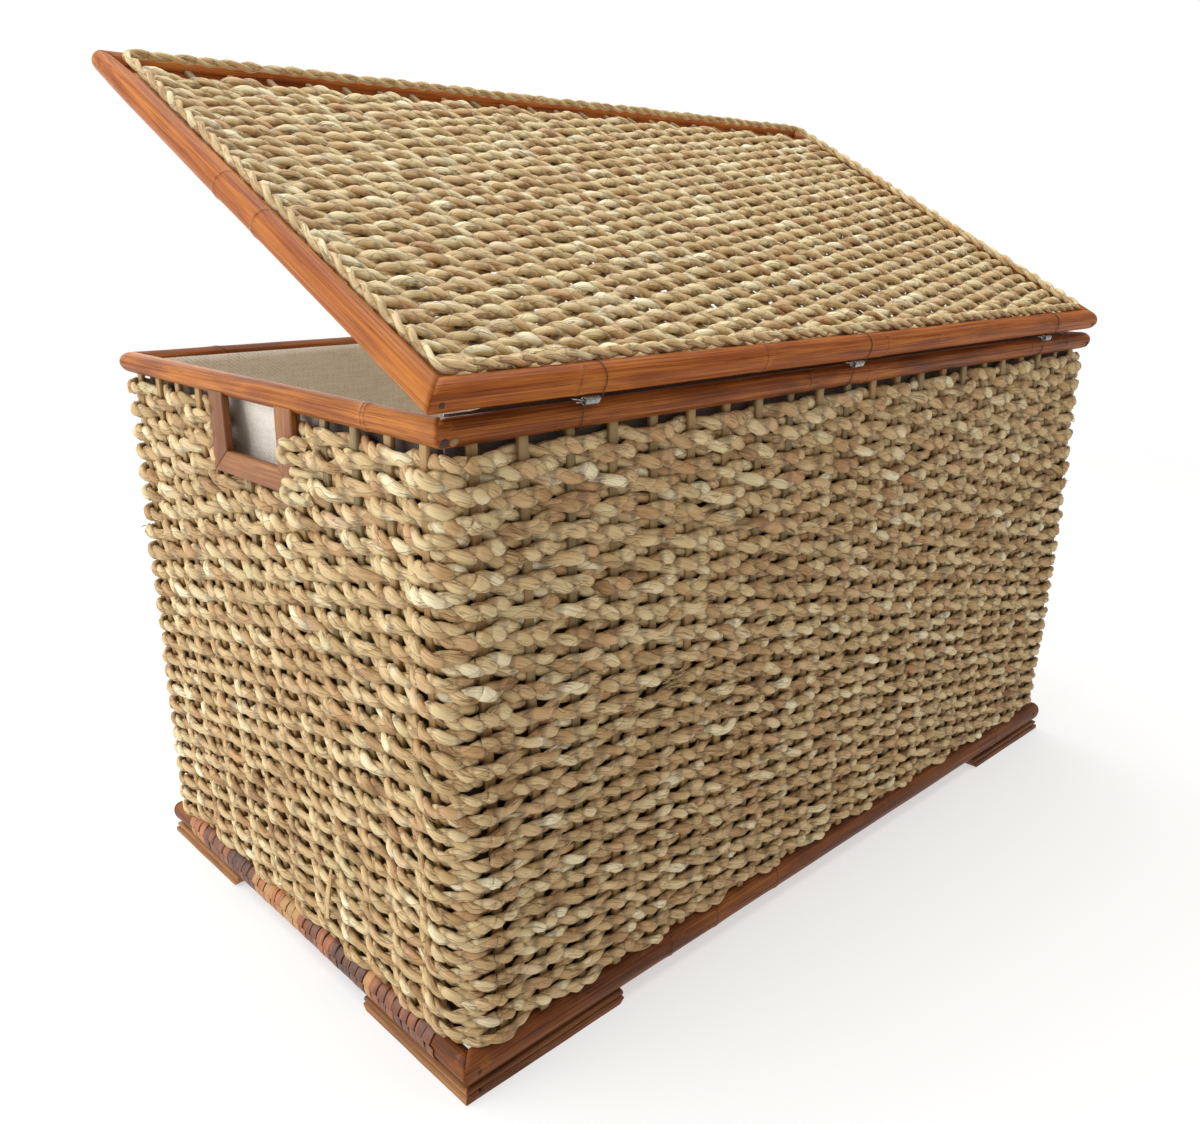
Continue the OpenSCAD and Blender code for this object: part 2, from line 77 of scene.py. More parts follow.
# ---------------------------------------------------------------- mesh helpers
class Build:
    """Gathers swept tubes and strips into one mesh, with a flow coordinate and a tint at each vertex."""

    def __init__(self):
        self.v, self.f4, self.fn, self.flow, self.tint = [], [], [], [], []
        self.n = 0

    def add(self, verts, quads, flow, tint, ngons=()):
        self.v.append(verts.reshape(-1, 3))
        self.f4.append(quads.reshape(-1, 4) + self.n)
        for g in ngons:
            self.fn.append(np.asarray(g) + self.n)
        self.flow.append(flow.reshape(-1, 3))
        self.tint.append(np.broadcast_to(tint, verts.shape[:-1] + (4,)).reshape(-1, 4))
        self.n += len(self.v[-1])

    def tube(self, centre, u, w, ru, rw, along, tint, closed=False, caps=True, sides=8, power=1.0,
             wobble=None, turn=0.0):
        """Sweep an oval along centre (N,3), with half-axes ru along u and rw along w."""
        n = len(centre)
        th = angles(sides) + turn
        c, s = np.cos(th), np.sin(th)
        if power != 1.0:
            c = np.sign(c) * np.abs(c) ** power
            s = np.sign(s) * np.abs(s) ** power
        ru = np.broadcast_to(np.asarray(ru, float), (n,))[:, None]
        rw = np.broadcast_to(np.asarray(rw, float), (n,))[:, None]
        k = 1.0 if wobble is None else wobble
        a, b = c[None] * ru * k, s[None] * rw * k
        verts = centre[:, None] + u[:, None] * a[..., None] + w[:, None] * b[..., None]
        i = np.arange(n if closed else n - 1)
        j = (i + 1) % n
        m = np.arange(sides)
        m2 = (m + 1) % sides
        quads = np.stack([i[:, None] * sides + m, i[:, None] * sides + m2,
                          j[:, None] * sides + m2, j[:, None] * sides + m], -1)
        flow = np.stack([np.broadcast_to(np.asarray(along)[:, None], a.shape), a, b], -1) * MM
        tint = np.asarray(tint, float)
        if tint.ndim == 2:
            tint = np.broadcast_to(tint[:, None], verts.shape[:-1] + (4,))
        ends = []
        if caps and not closed:
            ends = [m[::-1], (n - 1) * sides + m]
        self.add(verts, quads, flow, tint, ends)

    def sweep(self, centre, side, *sizes, closed=False, **more):
        """Sweep an oval along centre with its w axis nearest to side."""
        u, w = frames(centre, side, closed)
        self.tube(centre, u, w, *sizes, closed=closed, **more)

    def mesh(self, name, lid=False, smooth=True):
        v = np.concatenate(self.v)
        v = to_lid(v) if lid else v * MM
        f4 = np.concatenate(self.f4)
        me = bpy.data.meshes.new(name)
        me.vertices.add(len(v))
        me.vertices.foreach_set("co", v.ravel())
        counts = np.concatenate([np.full(len(f4), 4), [len(g) for g in self.fn]]).astype(int)
        loops = np.concatenate([f4.ravel()] + list(self.fn)).astype(int)
        me.loops.add(len(loops))
        me.loops.foreach_set("vertex_index", loops)
        me.polygons.add(len(counts))
        me.polygons.foreach_set("loop_start", np.concatenate([[0], np.cumsum(counts)[:-1]]).astype(int))
        me.update(calc_edges=True)
        me.validate()
        if smooth:
            me.polygons.foreach_set("use_smooth", np.ones(len(me.polygons), bool))
        at = me.attributes.new("flow", "FLOAT_VECTOR", "POINT")
        at.data.foreach_set("vector", np.concatenate(self.flow).ravel())
        at = me.attributes.new("tint", "FLOAT_COLOR", "POINT")
        at.data.foreach_set("color", np.concatenate(self.tint).ravel())
        ob = bpy.data.objects.new(name, me)
        bpy.context.scene.collection.objects.link(ob)
        return ob


def piece(build, name, mat, body, slot, *nodes, smooth=True):
    ob = build.mesh(name, lid=body == "lid", smooth=smooth)
    ob.data.materials.append(mat)
    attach(ob, body)
    if nodes:
        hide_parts(*nodes)
    return ob


def angles(sides):
    return np.linspace(0, 2 * np.pi, sides, endpoint=False)


def unit(a):
    return a / np.maximum(np.linalg.norm(a, axis=-1, keepdims=True), 1e-12)


def tangents(c, closed=False):
    if closed:
        return unit(np.roll(c, -1, 0) - np.roll(c, 1, 0))
    return unit(np.gradient(c, axis=0))


def frames(c, side, closed=False):
    """Section axes square to the path: w nearest to side, u across it."""
    t, side = tangents(c, closed), np.asarray(side, float)
    w = unit(side - (side * t).sum(-1, keepdims=True) * t)
    return np.cross(w, t), w


def waves(rng, x, reach, count=4, low=0.5, high=2.0):
    """Smooth random wave of about unit height, with features about reach long."""
    out = np.zeros_like(x)
    for _ in range(count):
        out += np.sin(2 * np.pi * x / (reach * rng.uniform(low, high)) + rng.uniform(0, 7))
    return out / math.sqrt(count / 2) / 1.4


# ---------------------------------------------------------------- material helpers
class Mat:
    def __init__(self, name):
        self.m = bpy.data.materials.new(name)
        self.m.use_nodes = True
        self.t = self.m.node_tree
        self.b = self.t.nodes["Principled BSDF"]

    def n(self, kind, **sets):
        node = self.t.nodes.new(kind)
        for k, v in sets.items():
            setattr(node, k, v)
        return node

    def l(self, a, b):
        self.t.links.new(a, b)

    def set(self, **vals):
        for k, v in vals.items():
            self.b.inputs[k.replace("_", " ")].default_value = v

    def attr(self, name):
        return self.n("ShaderNodeAttribute", attribute_name=name)

    def split(self, colour):
        s = self.n("ShaderNodeSeparateColor")
        self.l(colour, s.inputs[0])
        return s.outputs

    def scaled(self, vec, scale, shift=(0, 0, 0)):
        m = self.n("ShaderNodeMapping")
        self.l(vec, m.inputs["Vector"])
        m.inputs["Scale"].default_value = scale
        m.inputs["Location"].default_value = shift
        return m.outputs[0]

    def noise(self, vec, scale, detail=3.0, rough=0.55, dist=0.0):
        t = self.n("ShaderNodeTexNoise")
        self.l(vec, t.inputs["Vector"])
        t.inputs["Scale"].default_value = scale
        t.inputs["Detail"].default_value = detail
        t.inputs["Roughness"].default_value = rough
        t.inputs["Distortion"].default_value = dist
        return t.outputs["Fac"]

    def math(self, op, a, b=None, c=None, clamp=False):
        m = self.n("ShaderNodeMath", operation=op, use_clamp=clamp)
        for i, x in enumerate((a, b, c)):
            if x is None:
                continue
            if isinstance(x, (int, float)):
                m.inputs[i].default_value = x
            else:
                self.l(x, m.inputs[i])
        return m.outputs[0]

    def mul(self, a, b):
        return self.math("MULTIPLY", a, b)

    def add(self, first, *rest):
        for x in rest:
            first = self.math("ADD", first, x)
        return first

    def parts(self):
        """The flow coordinate, and the three channels of the tint."""
        tint = self.split(self.attr("tint").outputs["Color"])
        return (self.attr("flow").outputs["Vector"], *list(tint)[:3])

    def spread(self, x, c, d):
        """A noise value's usual range, 0.3 to 0.7, stretched to c to d."""
        return self.remap(x, 0.3, 0.7, c, d)

    def remap(self, x, a, b, c=0.0, d=1.0):
        m = self.n("ShaderNodeMapRange")
        self.l(x, m.inputs[0])
        for i, v in enumerate((a, b, c, d)):
            m.inputs[i + 1].default_value = v
        return m.outputs[0]

    def ramp(self, x, stops):
        r = self.n("ShaderNodeValToRGB")
        self.l(x, r.inputs[0])
        e = r.color_ramp.elements
        while len(e) < len(stops):
            e.new(0.5)
        for el, (p, c) in zip(e, stops):
            el.position = p
            el.color = (*lin(*c), 1)
        return r.outputs[0]

    def mix(self, fac, a, b, kind="MIX"):
        m = self.n("ShaderNodeMix", data_type="RGBA", blend_type=kind)
        m.clamp_factor = True
        for sock, x in ((m.inputs[0], fac), (m.inputs[6], a), (m.inputs[7], b)):
            if isinstance(x, (int, float)):
                sock.default_value = x
            elif isinstance(x, tuple):
                sock.default_value = (*lin(*x), 1)
            else:
                self.l(x, sock)
        return m.outputs[2]

    def bump(self, height, strength, distance, after=None):
        b = self.n("ShaderNodeBump")
        b.inputs["Strength"].default_value = strength
        b.inputs["Distance"].default_value = distance
        self.l(height, b.inputs["Height"])
        if after is not None:
            self.l(after, b.inputs["Normal"])
        return b.outputs[0]

    def out(self, colour=None, rough=None, normal=None):
        for sock, x in (("Base Color", colour), ("Roughness", rough), ("Normal", normal)):
            if x is not None:
                self.l(x, self.b.inputs[sock])
        return self.m


def lin(*rgb):
    """sRGB bytes to linear."""
    return tuple(((x / 255) / 12.92 if x <= 10 else ((x / 255 + 0.055) / 1.055) ** 2.4) for x in rgb)


def rope_material(name, stops, seed):
    m = Mat(name)
    v, tone, hue, edge = m.parts()
    sep = m.n("ShaderNodeSeparateXYZ")
    m.l(v, sep.inputs[0])
    angle = m.mul(m.math("ARCTAN2", sep.outputs[2], sep.outputs[1]), 1 / (2 * math.pi))
    drift = m.spread(m.noise(m.scaled(v, (30, 0, 0), (seed, 1, 4)), 1.0, 2.0), -0.6, 0.6)
    wrap = m.math("FRACT", m.add(m.add(angle, m.mul(sep.outputs[0], 1 / 0.031)), drift))
    wrap2 = m.math("FRACT", m.math("SUBTRACT", m.mul(angle, 2.0),
                                   m.add(m.mul(sep.outputs[0], 1 / 0.047), drift)))
    fibre = m.noise(m.scaled(v, (60, 900, 900), (seed, 0, 0)), 1.0, 3.0, 0.6, 0.3)
    fine = m.noise(m.scaled(v, (160, 2600, 2600), (seed, 3, 0)), 1.0, 2.0, 0.6)
    blotch = m.noise(m.scaled(v, (55, 70, 70), (seed, 9, 2)), 1.0, 3.0, 0.5)
    leaf = m.noise(m.scaled(v, (26, 330, 330), (seed, 5, 7)), 1.0, 1.0, 0.5)
    where = m.noise(m.scaled(v, (70, 60, 60), (seed, 12, 1)), 1.0, 1.0)
    crack = m.mul(m.remap(m.math("ABSOLUTE", m.math("SUBTRACT", leaf, 0.5)), 0.006, 0.024, 1.0, 0.0),
                   m.remap(where, 0.40, 0.58, 0.0, 1.0))
    seam = m.math("MAXIMUM", m.remap(wrap, 0.0, 0.045, 1.0, 0.0), m.remap(wrap2, 0.0, 0.03, 0.8, 0.0))
    t = m.add(tone, m.spread(blotch, -0.14, 0.14))
    t = m.add(t, m.remap(fibre, 0.25, 0.75, -0.16, 0.16))
    t = m.add(t, m.remap(wrap, 0.0, 1.0, -0.07, 0.10))
    col = m.ramp(t, stops)
    col = m.mix(m.remap(hue, 0.84, 1.0, 0.0, 0.35), col, (172, 158, 108))
    col = m.mix(m.remap(hue, 0.22, 0.0, 0.0, 0.50), col, (186, 134, 90))
    dark = m.math("MAXIMUM", m.mul(crack, 0.60), m.mul(seam, 0.75))
    shade = m.math("MAXIMUM", dark, m.remap(fibre, 0.36, 0.22, 0.0, 0.40))
    col = m.mix(shade, col, (84, 56, 34))
    # painted shade, with some dirt: the tint's third channel darkens each strand where it tucks under the other
    # strand
    col = m.mix(m.remap(edge, 0.55, 0.0, 0.0, 0.70), col, (78, 54, 34))
    h = m.add(m.mul(fibre, 0.5), m.mul(fine, 0.15))
    h = m.add(h, m.mul(m.add(wrap, wrap2), 0.30))
    h = m.math("SUBTRACT", h, m.mul(crack, 0.5))
    m.set(Specular_IOR_Level=0.35)
    return m.out(col, m.spread(fibre, 0.58, 0.42), m.bump(h, 0.8, 0.0011))


def pole_material(name, dark, mid, light, seed, rough=0.44, coat=0.05):
    m = Mat(name)
    v, tone, ring, wear = m.parts()
    streak = m.noise(m.scaled(v, (5.0, 300, 300), (seed, 0, 0)), 1.0, 5.0, 0.65, 0.5)
    fine = m.noise(m.scaled(v, (14, 1500, 1500), (seed, 4, 0)), 1.0, 3.0, 0.6)
    patch = m.noise(m.scaled(v, (9, 34, 34), (seed, 8, 1)), 1.0, 3.0, 0.55, 0.5)
    t = m.add(m.mul(streak, 0.6), m.mul(patch, 0.4))
    t = m.add(t, m.spread(fine, -0.10, 0.10))
    t = m.add(t, m.math("SUBTRACT", m.mul(tone, 0.3), 0.15))
    col = m.ramp(t, [(0.33, dark), (0.49, mid), (0.67, light)])
    # darker at the node rings; on the feet this channel holds painted shade in the moulding's groove
    col = m.mix(m.mul(ring, 0.3), col, (62, 30, 14))
    scuff = m.noise(m.scaled(v, (70, 120, 120), (seed, 2, 5)), 1.0, 3.0, 0.6)
    col = m.mix(m.mul(m.remap(scuff, 0.62, 0.72, 0.0, 0.5), wear), col, light)
    pit = m.remap(m.noise(m.scaled(v, (40, 700, 700), (seed, 6, 3)), 1.0, 2.0, 0.5), 0.68, 0.76, 0.0, 0.6)
    col = m.mix(pit, col, (70, 34, 15))
    h = m.math("SUBTRACT", m.add(m.mul(streak, 0.5), m.mul(fine, 0.3)),
               m.mul(pit, 0.4))
    m.set(Specular_IOR_Level=0.14, Coat_Weight=coat, Coat_Roughness=0.25)
    return m.out(col, m.spread(patch, rough, rough + 0.16), m.bump(h, 0.45, 0.0007))


def strip_material(name, stops, seed, rough=0.38, coat=0.2, grain=0.13):
    m = Mat(name)
    v, tone, ring, wear = m.parts()
    streak = m.noise(m.scaled(v, (22, 900, 900), (seed, 0, 0)), 1.0, 3.0, 0.6, 0.3)
    patch = m.noise(m.scaled(v, (30, 60, 60), (seed, 7, 0)), 1.0, 2.0, 0.5)
    coarse = m.noise(m.scaled(v, (9, 330, 330), (seed, 2, 9)), 1.0, 3.0, 0.6, 0.3)
    t = m.add(tone, m.spread(streak, -grain, grain))
    t = m.add(t, m.spread(coarse, -grain, grain))
    t = m.add(t, m.spread(patch, -0.10, 0.10))
    col = m.ramp(t, stops)
    col = m.mix(m.mul(ring, 0.8), col, (60, 36, 18))
    m.set(Specular_IOR_Level=0.45, Coat_Weight=coat, Coat_Roughness=0.3)
    return m.out(col, m.spread(streak, rough, rough + 0.15), m.bump(streak, 0.4, 0.0005))


def wood_material(name, dark, light, seed, rough=0.5):
    """Sawn wood, grain along the object's X."""
    m = Mat(name)
    co = m.n("ShaderNodeTexCoord").outputs["Object"]
    warp = m.noise(m.scaled(co, (3, 14, 14), (seed, 0, 0)), 1.0, 2.0, 0.5)
    add = m.n("ShaderNodeVectorMath", operation="ADD")
    m.l(m.scaled(co, (4, 90, 90), (seed, 1, 0)), add.inputs[0])
    m.l(warp, add.inputs[1])
    grain = m.noise(add.outputs[0], 1.0, 5.0, 0.6, 0.8)
    fine = m.noise(m.scaled(co, (30, 900, 900), (seed, 5, 0)), 1.0, 2.0, 0.6)
    t = m.add(grain, m.spread(fine, -0.08, 0.08))
    col = m.ramp(t, [(0.34, dark), (0.66, light)])
    m.set(Specular_IOR_Level=0.3)
    return m.out(col, m.spread(grain, rough, rough + 0.15), m.bump(t, 0.3, 0.0006))


def canvas_material():
    m = Mat("lining_canvas")
    co = m.n("ShaderNodeTexCoord").outputs["Object"]
    sep = m.n("ShaderNodeSeparateXYZ")
    m.l(co, sep.inputs[0])
    jitter = m.spread(m.noise(co, 300.0, 2.0), -0.9, 0.9)
    along = m.add(sep.outputs[0], sep.outputs[1])
    up = m.add(sep.outputs[2], m.mul(m.math("SUBTRACT", sep.outputs[0], sep.outputs[1]), 0.3))
    a = m.math("SINE", m.add(m.mul(along, 1800.0), jitter))
    b = m.math("SINE", m.add(m.mul(up, 1800.0), jitter))
    weave = m.mul(a, b)
    slub = m.noise(m.scaled(co, (60, 60, 500), (1, 0, 0)), 1.0, 3.0)
    slub2 = m.noise(m.scaled(co, (500, 500, 50), (4, 0, 0)), 1.0, 3.0)
    t = m.add(m.mul(m.add(slub, slub2), 0.5), m.mul(weave, 0.17))
    stain = m.noise(co, 9.0, 3.0)
    col = m.ramp(t, [(0.35, (236, 224, 208)), (0.5, (253, 244, 232)), (0.66, (255, 253, 246))])
    col = m.mix(m.remap(stain, 0.45, 0.75, 0.0, 0.15), col, (190, 176, 150))
    # painted shade: the tint's second channel marks the sheet's outer side, facing the weave, which is darkened to
    # brown
    outer = m.split(m.attr("tint").outputs["Color"])[1]
    col = m.mix(m.mul(outer, 0.9), col, (76, 54, 34))
    m.set(Specular_IOR_Level=0.15, Sheen_Weight=0.2, Sheen_Roughness=0.5)
    h = m.add(m.mul(weave, 0.5), slub)
    return m.out(col, m.spread(slub, 0.85, 0.95), m.bump(h, 0.5, 0.0005))


def wire_material():
    m = Mat("hinge_wire")
    co = m.n("ShaderNodeTexCoord").outputs["Object"]
    spots = m.noise(co, 900.0, 3.0, 0.6)
    col = m.ramp(spots, [(0.35, (120, 116, 110)), (0.55, (186, 186, 184)), (0.7, (222, 223, 223))])
    tie = m.split(m.attr("tint").outputs["Color"])[1]
    col = m.mix(tie, col, (70, 46, 32))
    m.l(m.remap(tie, 0.0, 1.0, 0.85, 0.2), m.b.inputs["Metallic"])
    return m.out(col, m.spread(spots, 0.55, 0.32), m.bump(spots, 0.2, 0.0002))


def nail_material():
    m = Mat("nail_head")
    co = m.n("ShaderNodeTexCoord").outputs["Object"]
    spots = m.noise(co, 1400.0, 3.0, 0.6)
    col = m.ramp(spots, [(0.35, (34, 24, 18)), (0.6, (74, 52, 38)), (0.75, (120, 92, 66))])
    col = m.mix(m.split(m.attr("tint").outputs["Color"])[1], col, (158, 116, 74))
    m.set(Metallic=0.25)
    return m.out(col, m.spread(spots, 0.55, 0.75), m.bump(spots, 0.3, 0.0003))


ROPE_STOPS = [(0.0, (134, 98, 60)), (0.22, (172, 136, 90)), (0.48, (200, 170, 122)),
              (0.72, (216, 194, 148)), (0.95, (233, 220, 184))]
rope_mat = rope_material("leaf_rope", ROPE_STOPS, 1.0)
lid_rope_mat = rope_material("leaf_rope_lid", ROPE_STOPS, 21.0)
border_mat = rope_material("leaf_rope_border", ROPE_STOPS, 41.0)
rim_mat = pole_material("rattan_rim", (72, 33, 11), (132, 69, 26), (182, 114, 50), 2.0)
base_mat = pole_material("rattan_base", (70, 36, 14), (114, 62, 27), (156, 98, 46), 5.0, 0.46, 0.04)
lid_mat = pole_material("rattan_lid", (80, 36, 11), (140, 70, 25), (180, 110, 44), 9.0)
slat_mat = strip_material("rattan_slat", [(0.0, (74, 38, 13)), (0.5, (120, 68, 28)),
                                          (1.0, (164, 108, 54))], 3.0, 0.5, 0.03, 0.20)
peel_mat = strip_material("rattan_peel", [(0.0, (62, 32, 18)), (0.25, (102, 56, 32)), (0.5, (158, 88, 42)),
                                          (0.75, (178, 130, 72)), (1.0, (150, 128, 78))], 6.0, 0.4, 0.12)
stake_mat = strip_material("split_cane", [(0.0, (142, 106, 62)), (0.3, (166, 132, 82)), (0.6, (152, 124, 78)),
                                          (0.85, (134, 112, 72)), (1.0, (116, 100, 64))], 8.0, 0.5, 0.05)
edge_mat = strip_material("golden_strip", [(0.0, (158, 100, 46)), (0.5, (206, 150, 84)),
                                           (1.0, (222, 176, 112))], 12.0, 0.35, 0.25)
foot_mat = pole_material("foot_long_wood", (72, 38, 20), (112, 68, 38), (146, 96, 58), 15.0, 0.45, 0.06)
foot_end_mat = pole_material("foot_end_wood", (100, 62, 34), (140, 94, 56), (170, 124, 80), 18.0,
                             0.46, 0.05)
ply_mat = wood_material("plywood", (158, 122, 80), (200, 168, 122), 2.0, 0.6)
canvas_mat = canvas_material()
wire_mat = wire_material()
nail_mat = nail_material()


# ---------------------------------------------------------------- woven walls
def ring_at(s, r, half_x=CORNER_X, half_y=CORNER_Y):
    """Point and outward normal on a rounded rectangle, at arc length s from its (+X, -half_y) end."""
    straight, arc = (2 * half_y, 2 * half_x), math.pi / 2 * r
    lens = np.array([straight[0], arc, straight[1], arc] * 2)
    ends = np.concatenate([[0], np.cumsum(lens)])
    s = np.mod(s, ends[-1])
    seg = np.clip(np.searchsorted(ends, s, side="right") - 1, 0, 7)
    t = s - ends[seg]
    p, n = np.zeros(s.shape + (2,)), np.zeros(s.shape + (2,))
    for q, (sx, sy) in enumerate(((1, 1), (-1, 1), (-1, -1), (1, -1))):
        centre = np.array([sx * half_x, sy * half_y])
        a0 = q * math.pi / 2
        d = np.array([math.cos(a0), math.sin(a0)])
        m = seg == 2 * q
        p[m] = centre + d * r + np.array([-d[1], d[0]]) * (t[m] - lens[2 * q])[:, None]
        n[m] = d
        m = seg == 2 * q + 1
        a = a0 + t[m] / r
        n[m] = np.stack([np.cos(a), np.sin(a)], -1)
        p[m] = centre + n[m] * r
    return p, n


def ring_marks(r):
    """Arc lengths of the stakes, and of the four wall limits, round a ring."""
    arc = math.pi / 2 * r
    end_at = CORNER_Y + (np.arange(STAKES_END) - (STAKES_END - 1) / 2) * END_STEP
    long_at = CORNER_X + (np.arange(STAKES_LONG) - (STAKES_LONG - 1) / 2) * LONG_STEP
    marks, s = [], 0.0
    limits = []
    for at, ln in ((end_at, 2 * CORNER_Y), (long_at, 2 * CORNER_X)) * 2:
        limits.append((s, s + ln))
        marks += list(s + at)
        s += ln + arc
    return np.array(marks), limits, s


def course_height():
    """Centre height and thickness of each course: packed closer in the lower half of the wall."""
    step = np.interp(np.arange(COURSES), [0, 20, 33, COURSES], [8.35, 8.5, 9.4, 9.4])
    edge = np.concatenate([[0], np.cumsum(step)])
    scale = (WEAVE_TOP - WEAVE_LOW) / edge[-1]
    return WEAVE_LOW + (edge[:-1] + edge[1:]) / 2 * scale, step * scale


COURSE_Z, COURSE_STEP = course_height()
NEAR_END = 400                      # the loose ends left out beside the grips are past this X
LEFT_BULGE = 4.5                    # how far the back-left corner stands out, half way up
STRAND_MID, STRAND_SWING = 1.1, 4.5  # how far out a rope runs, and how far it swings round the stakes
CORNER_OUT = 3.0
TWIST_UP, TWIST_OUT = 2.45, 1.9      # a strand's distance from the middle of its rope
STRAND_TALL, STRAND_DEEP = 3.8, 3.1
LOOSE, FINE_LOOSE = 1.15, 0.45       # unevenness of the twist, in radians


class Course:
    """One rope course round the trunk: two strands twisted together, over one stake and behind the next."""

    def __init__(self, k):
        self.k = k
        self.z = COURSE_Z[k]
        self.size = COURSE_STEP[k] / 9.3
        self.r = CORNER_R + (RIM_Z - self.z) * LEAN
        self.marks, self.limits, self.total = ring_marks(self.r)
        self.rng = np.random.default_rng(1000 + k)
        m = self.marks
        self.ms = np.concatenate([[m[-1] - self.total], m, [m[0] + self.total]])
        self.mi = np.arange(-1, len(m) + 1)
        g = self.rng
        self.w = [(g.integers(3, 40), g.uniform(0, 7)) for _ in range(5)]
        self.v = [(g.integers(8, 60), g.uniform(0, 7)) for _ in range(5)]
        self.q = [(g.integers(20, 120), g.uniform(0, 7)) for _ in range(6)]
        self.slow = [[(g.integers(2, 22), g.uniform(0, 7)) for _ in range(5)] for _ in range(2)]
        self.leaf = [g.random((4, 2 * len(m) + 8)) for _ in range(2)]
        self.lag = g.uniform(-1, 1, 4)

    def rand(self, s, table):
        x = 2 * np.pi * s / self.total
        return sum(np.sin(n * x + p) for n, p in table) / math.sqrt(len(table) / 2) / 1.5

    def strand(self, s, which):
        sm = np.mod(s, self.total)
        p, n = ring_at(sm, self.r)
        idx = np.interp(sm, self.ms, self.mi)
        swing = np.cos(np.pi * (idx + self.k))
        c = np.abs(swing) ** 0.8
        phi = 2 * np.pi * idx + which * np.pi
        phi = phi + LOOSE * self.rand(sm, self.w) + FINE_LOOSE * self.rand(sm, self.v)
        phi = phi + self.corner_turn(sm)
        big = self.size * (1 + 0.12 * self.rand(sm, self.q))
        shared = 0.9 * np.sin(2 * np.pi * 3 * sm / self.total + 0.11 * self.k) \
            + 0.7 * np.sin(2 * np.pi * 7 * sm / self.total - 0.23 * self.k + 2)
        z = self.z + 0.8 * self.rand(sm, self.v) + 0.5 * self.rand(sm, self.q) \
            + shared * min(1, (self.k + 0.5) / 5, (COURSES - self.k) / 5)
        near = self.corner(sm)
        out = STRAND_MID + STRAND_SWING * swing + 0.5 * self.rand(sm, self.w) \
            + CORNER_OUT * near * (0.4 + 0.6 * np.maximum(swing, 0))
        bulge = LEFT_BULGE * math.sin(math.pi * self.k / COURSES)
        out = out + bulge * np.exp(-((sm - self.bends()[1]) / 60.0) ** 2)
        rv = (TWIST_UP + 0.45 * c) * big
        rd = TWIST_OUT - 0.3 * (swing < 0)
        centre = np.zeros(s.shape + (3,))
        centre[..., :2] = p + n * (out + rd * np.sin(phi))[..., None]
        centre[..., 2] = z + rv * np.cos(phi)
        centre[..., :2] += n * ((self.z - centre[..., 2]) * LEAN)[..., None]
        side = np.concatenate([n, np.zeros(s.shape + (1,))], -1)
        beside = np.sin(phi) ** 2
        au = (STRAND_TALL + 0.1 * c) * big * (1 + 0.26 * beside)
        aw = (STRAND_DEEP + 0.35 * c) * big * (1 - 0.10 * beside)
        cell = np.floor(phi / np.pi).astype(int) % self.leaf[0].shape[1]
        return centre, side, au, aw, phi, cell

    def bends(self):
        """Arc length at the middle of each corner bend."""
        return np.array([lim[1] for lim in self.limits]) + np.pi / 4 * self.r

    def corner_turn(self, s):
        """One more turn of twist round each corner, starting at a different place on every course."""
        mid = self.bends()
        mid = np.append(mid, mid[-1] - self.total)
        shift = np.append(self.lag, self.lag[-1])
        t = np.clip((s[:, None] - mid[None] - 7.0 * shift + 34.0) / 68.0, 0, 1)
        near = np.exp(-((s[:, None] - mid[None]) / 40.0) ** 2)
        return (2 * np.pi * t * t * (3 - 2 * t) + 1.3 * shift * near).sum(1)

    def corner(self, s):
        """1 in the middle of each corner bend, falling to 0 a stake away from it."""
        gap = np.abs(s[:, None] - self.bends()[None])
        gap = np.minimum(gap, self.total - gap).min(1)
        return np.clip(1 - gap / 45.0, 0, 1) ** 0.7


RINGS_MM = 2.7


def lay_strand(build, course, s0, s1, which):
    n = max(int((s1 - s0) / RINGS_MM), 3)
    s = np.linspace(s0, s1, n + 1)
    c, side, au, aw, phi, cell = course.strand(s, which)
    u, w = frames(c, side)
    leaf = course.leaf[which]
    tone = leaf[0][cell]
    hue = leaf[1][cell]
    front = 0.5 + 0.5 * np.sin(phi)
    pinch = 1 - 0.20 * (1 - front)
    slow = course.rand(np.mod(s, course.total), course.slow[which])
    # painted shade where the strand tucks under the other one, passed to the rope material as the tint's third
    # channel
    edge = tuck_shade(phi)
    base = 0.47 + 0.40 * (tone - 0.5) + 0.17 * slow + 0.30 * np.clip(slow - 0.85, 0, 0.8)
    tint = np.stack([base, hue, edge, np.full(len(s), course.k / COURSES)], -1)
    th = angles(8)
    rip = 1 + 0.07 * np.sin(3 * th[None] + 0.30 * s[:, None] + 5 * tone[:, None]) \
        + 0.05 * np.sin(5 * th[None] - 0.55 * s[:, None])
    build.tube(c, u, w, au * pinch, aw * pinch, s + 977.0 * which + 3000.0 * course.k, tint,
               wobble=rip)


def tuck_shade(phi):
    """1 on a strand's crown, falling to 0.15 where it goes under the other strand; the rope material turns the low
    values into painted shade, with some dirt.
    """
    return np.clip(1.15 - np.abs(np.cos(phi)) ** 3, 0, 1)


def smooth_path(points, rounds=4):
    """Corner-cut a polyline into a smooth curve with its ends kept."""
    p = np.asarray(points, float)
    for _ in range(rounds):
        q = np.empty((2 * len(p), p.shape[1]))
        q[0], q[-1] = p[0], p[-1]
        q[1:-1:2] = 0.75 * p[:-1] + 0.25 * p[1:]
        q[2::2] = 0.25 * p[:-1] + 0.75 * p[1:]
        p = q
    return p


LOOP_Z = (458.5, 428.0)


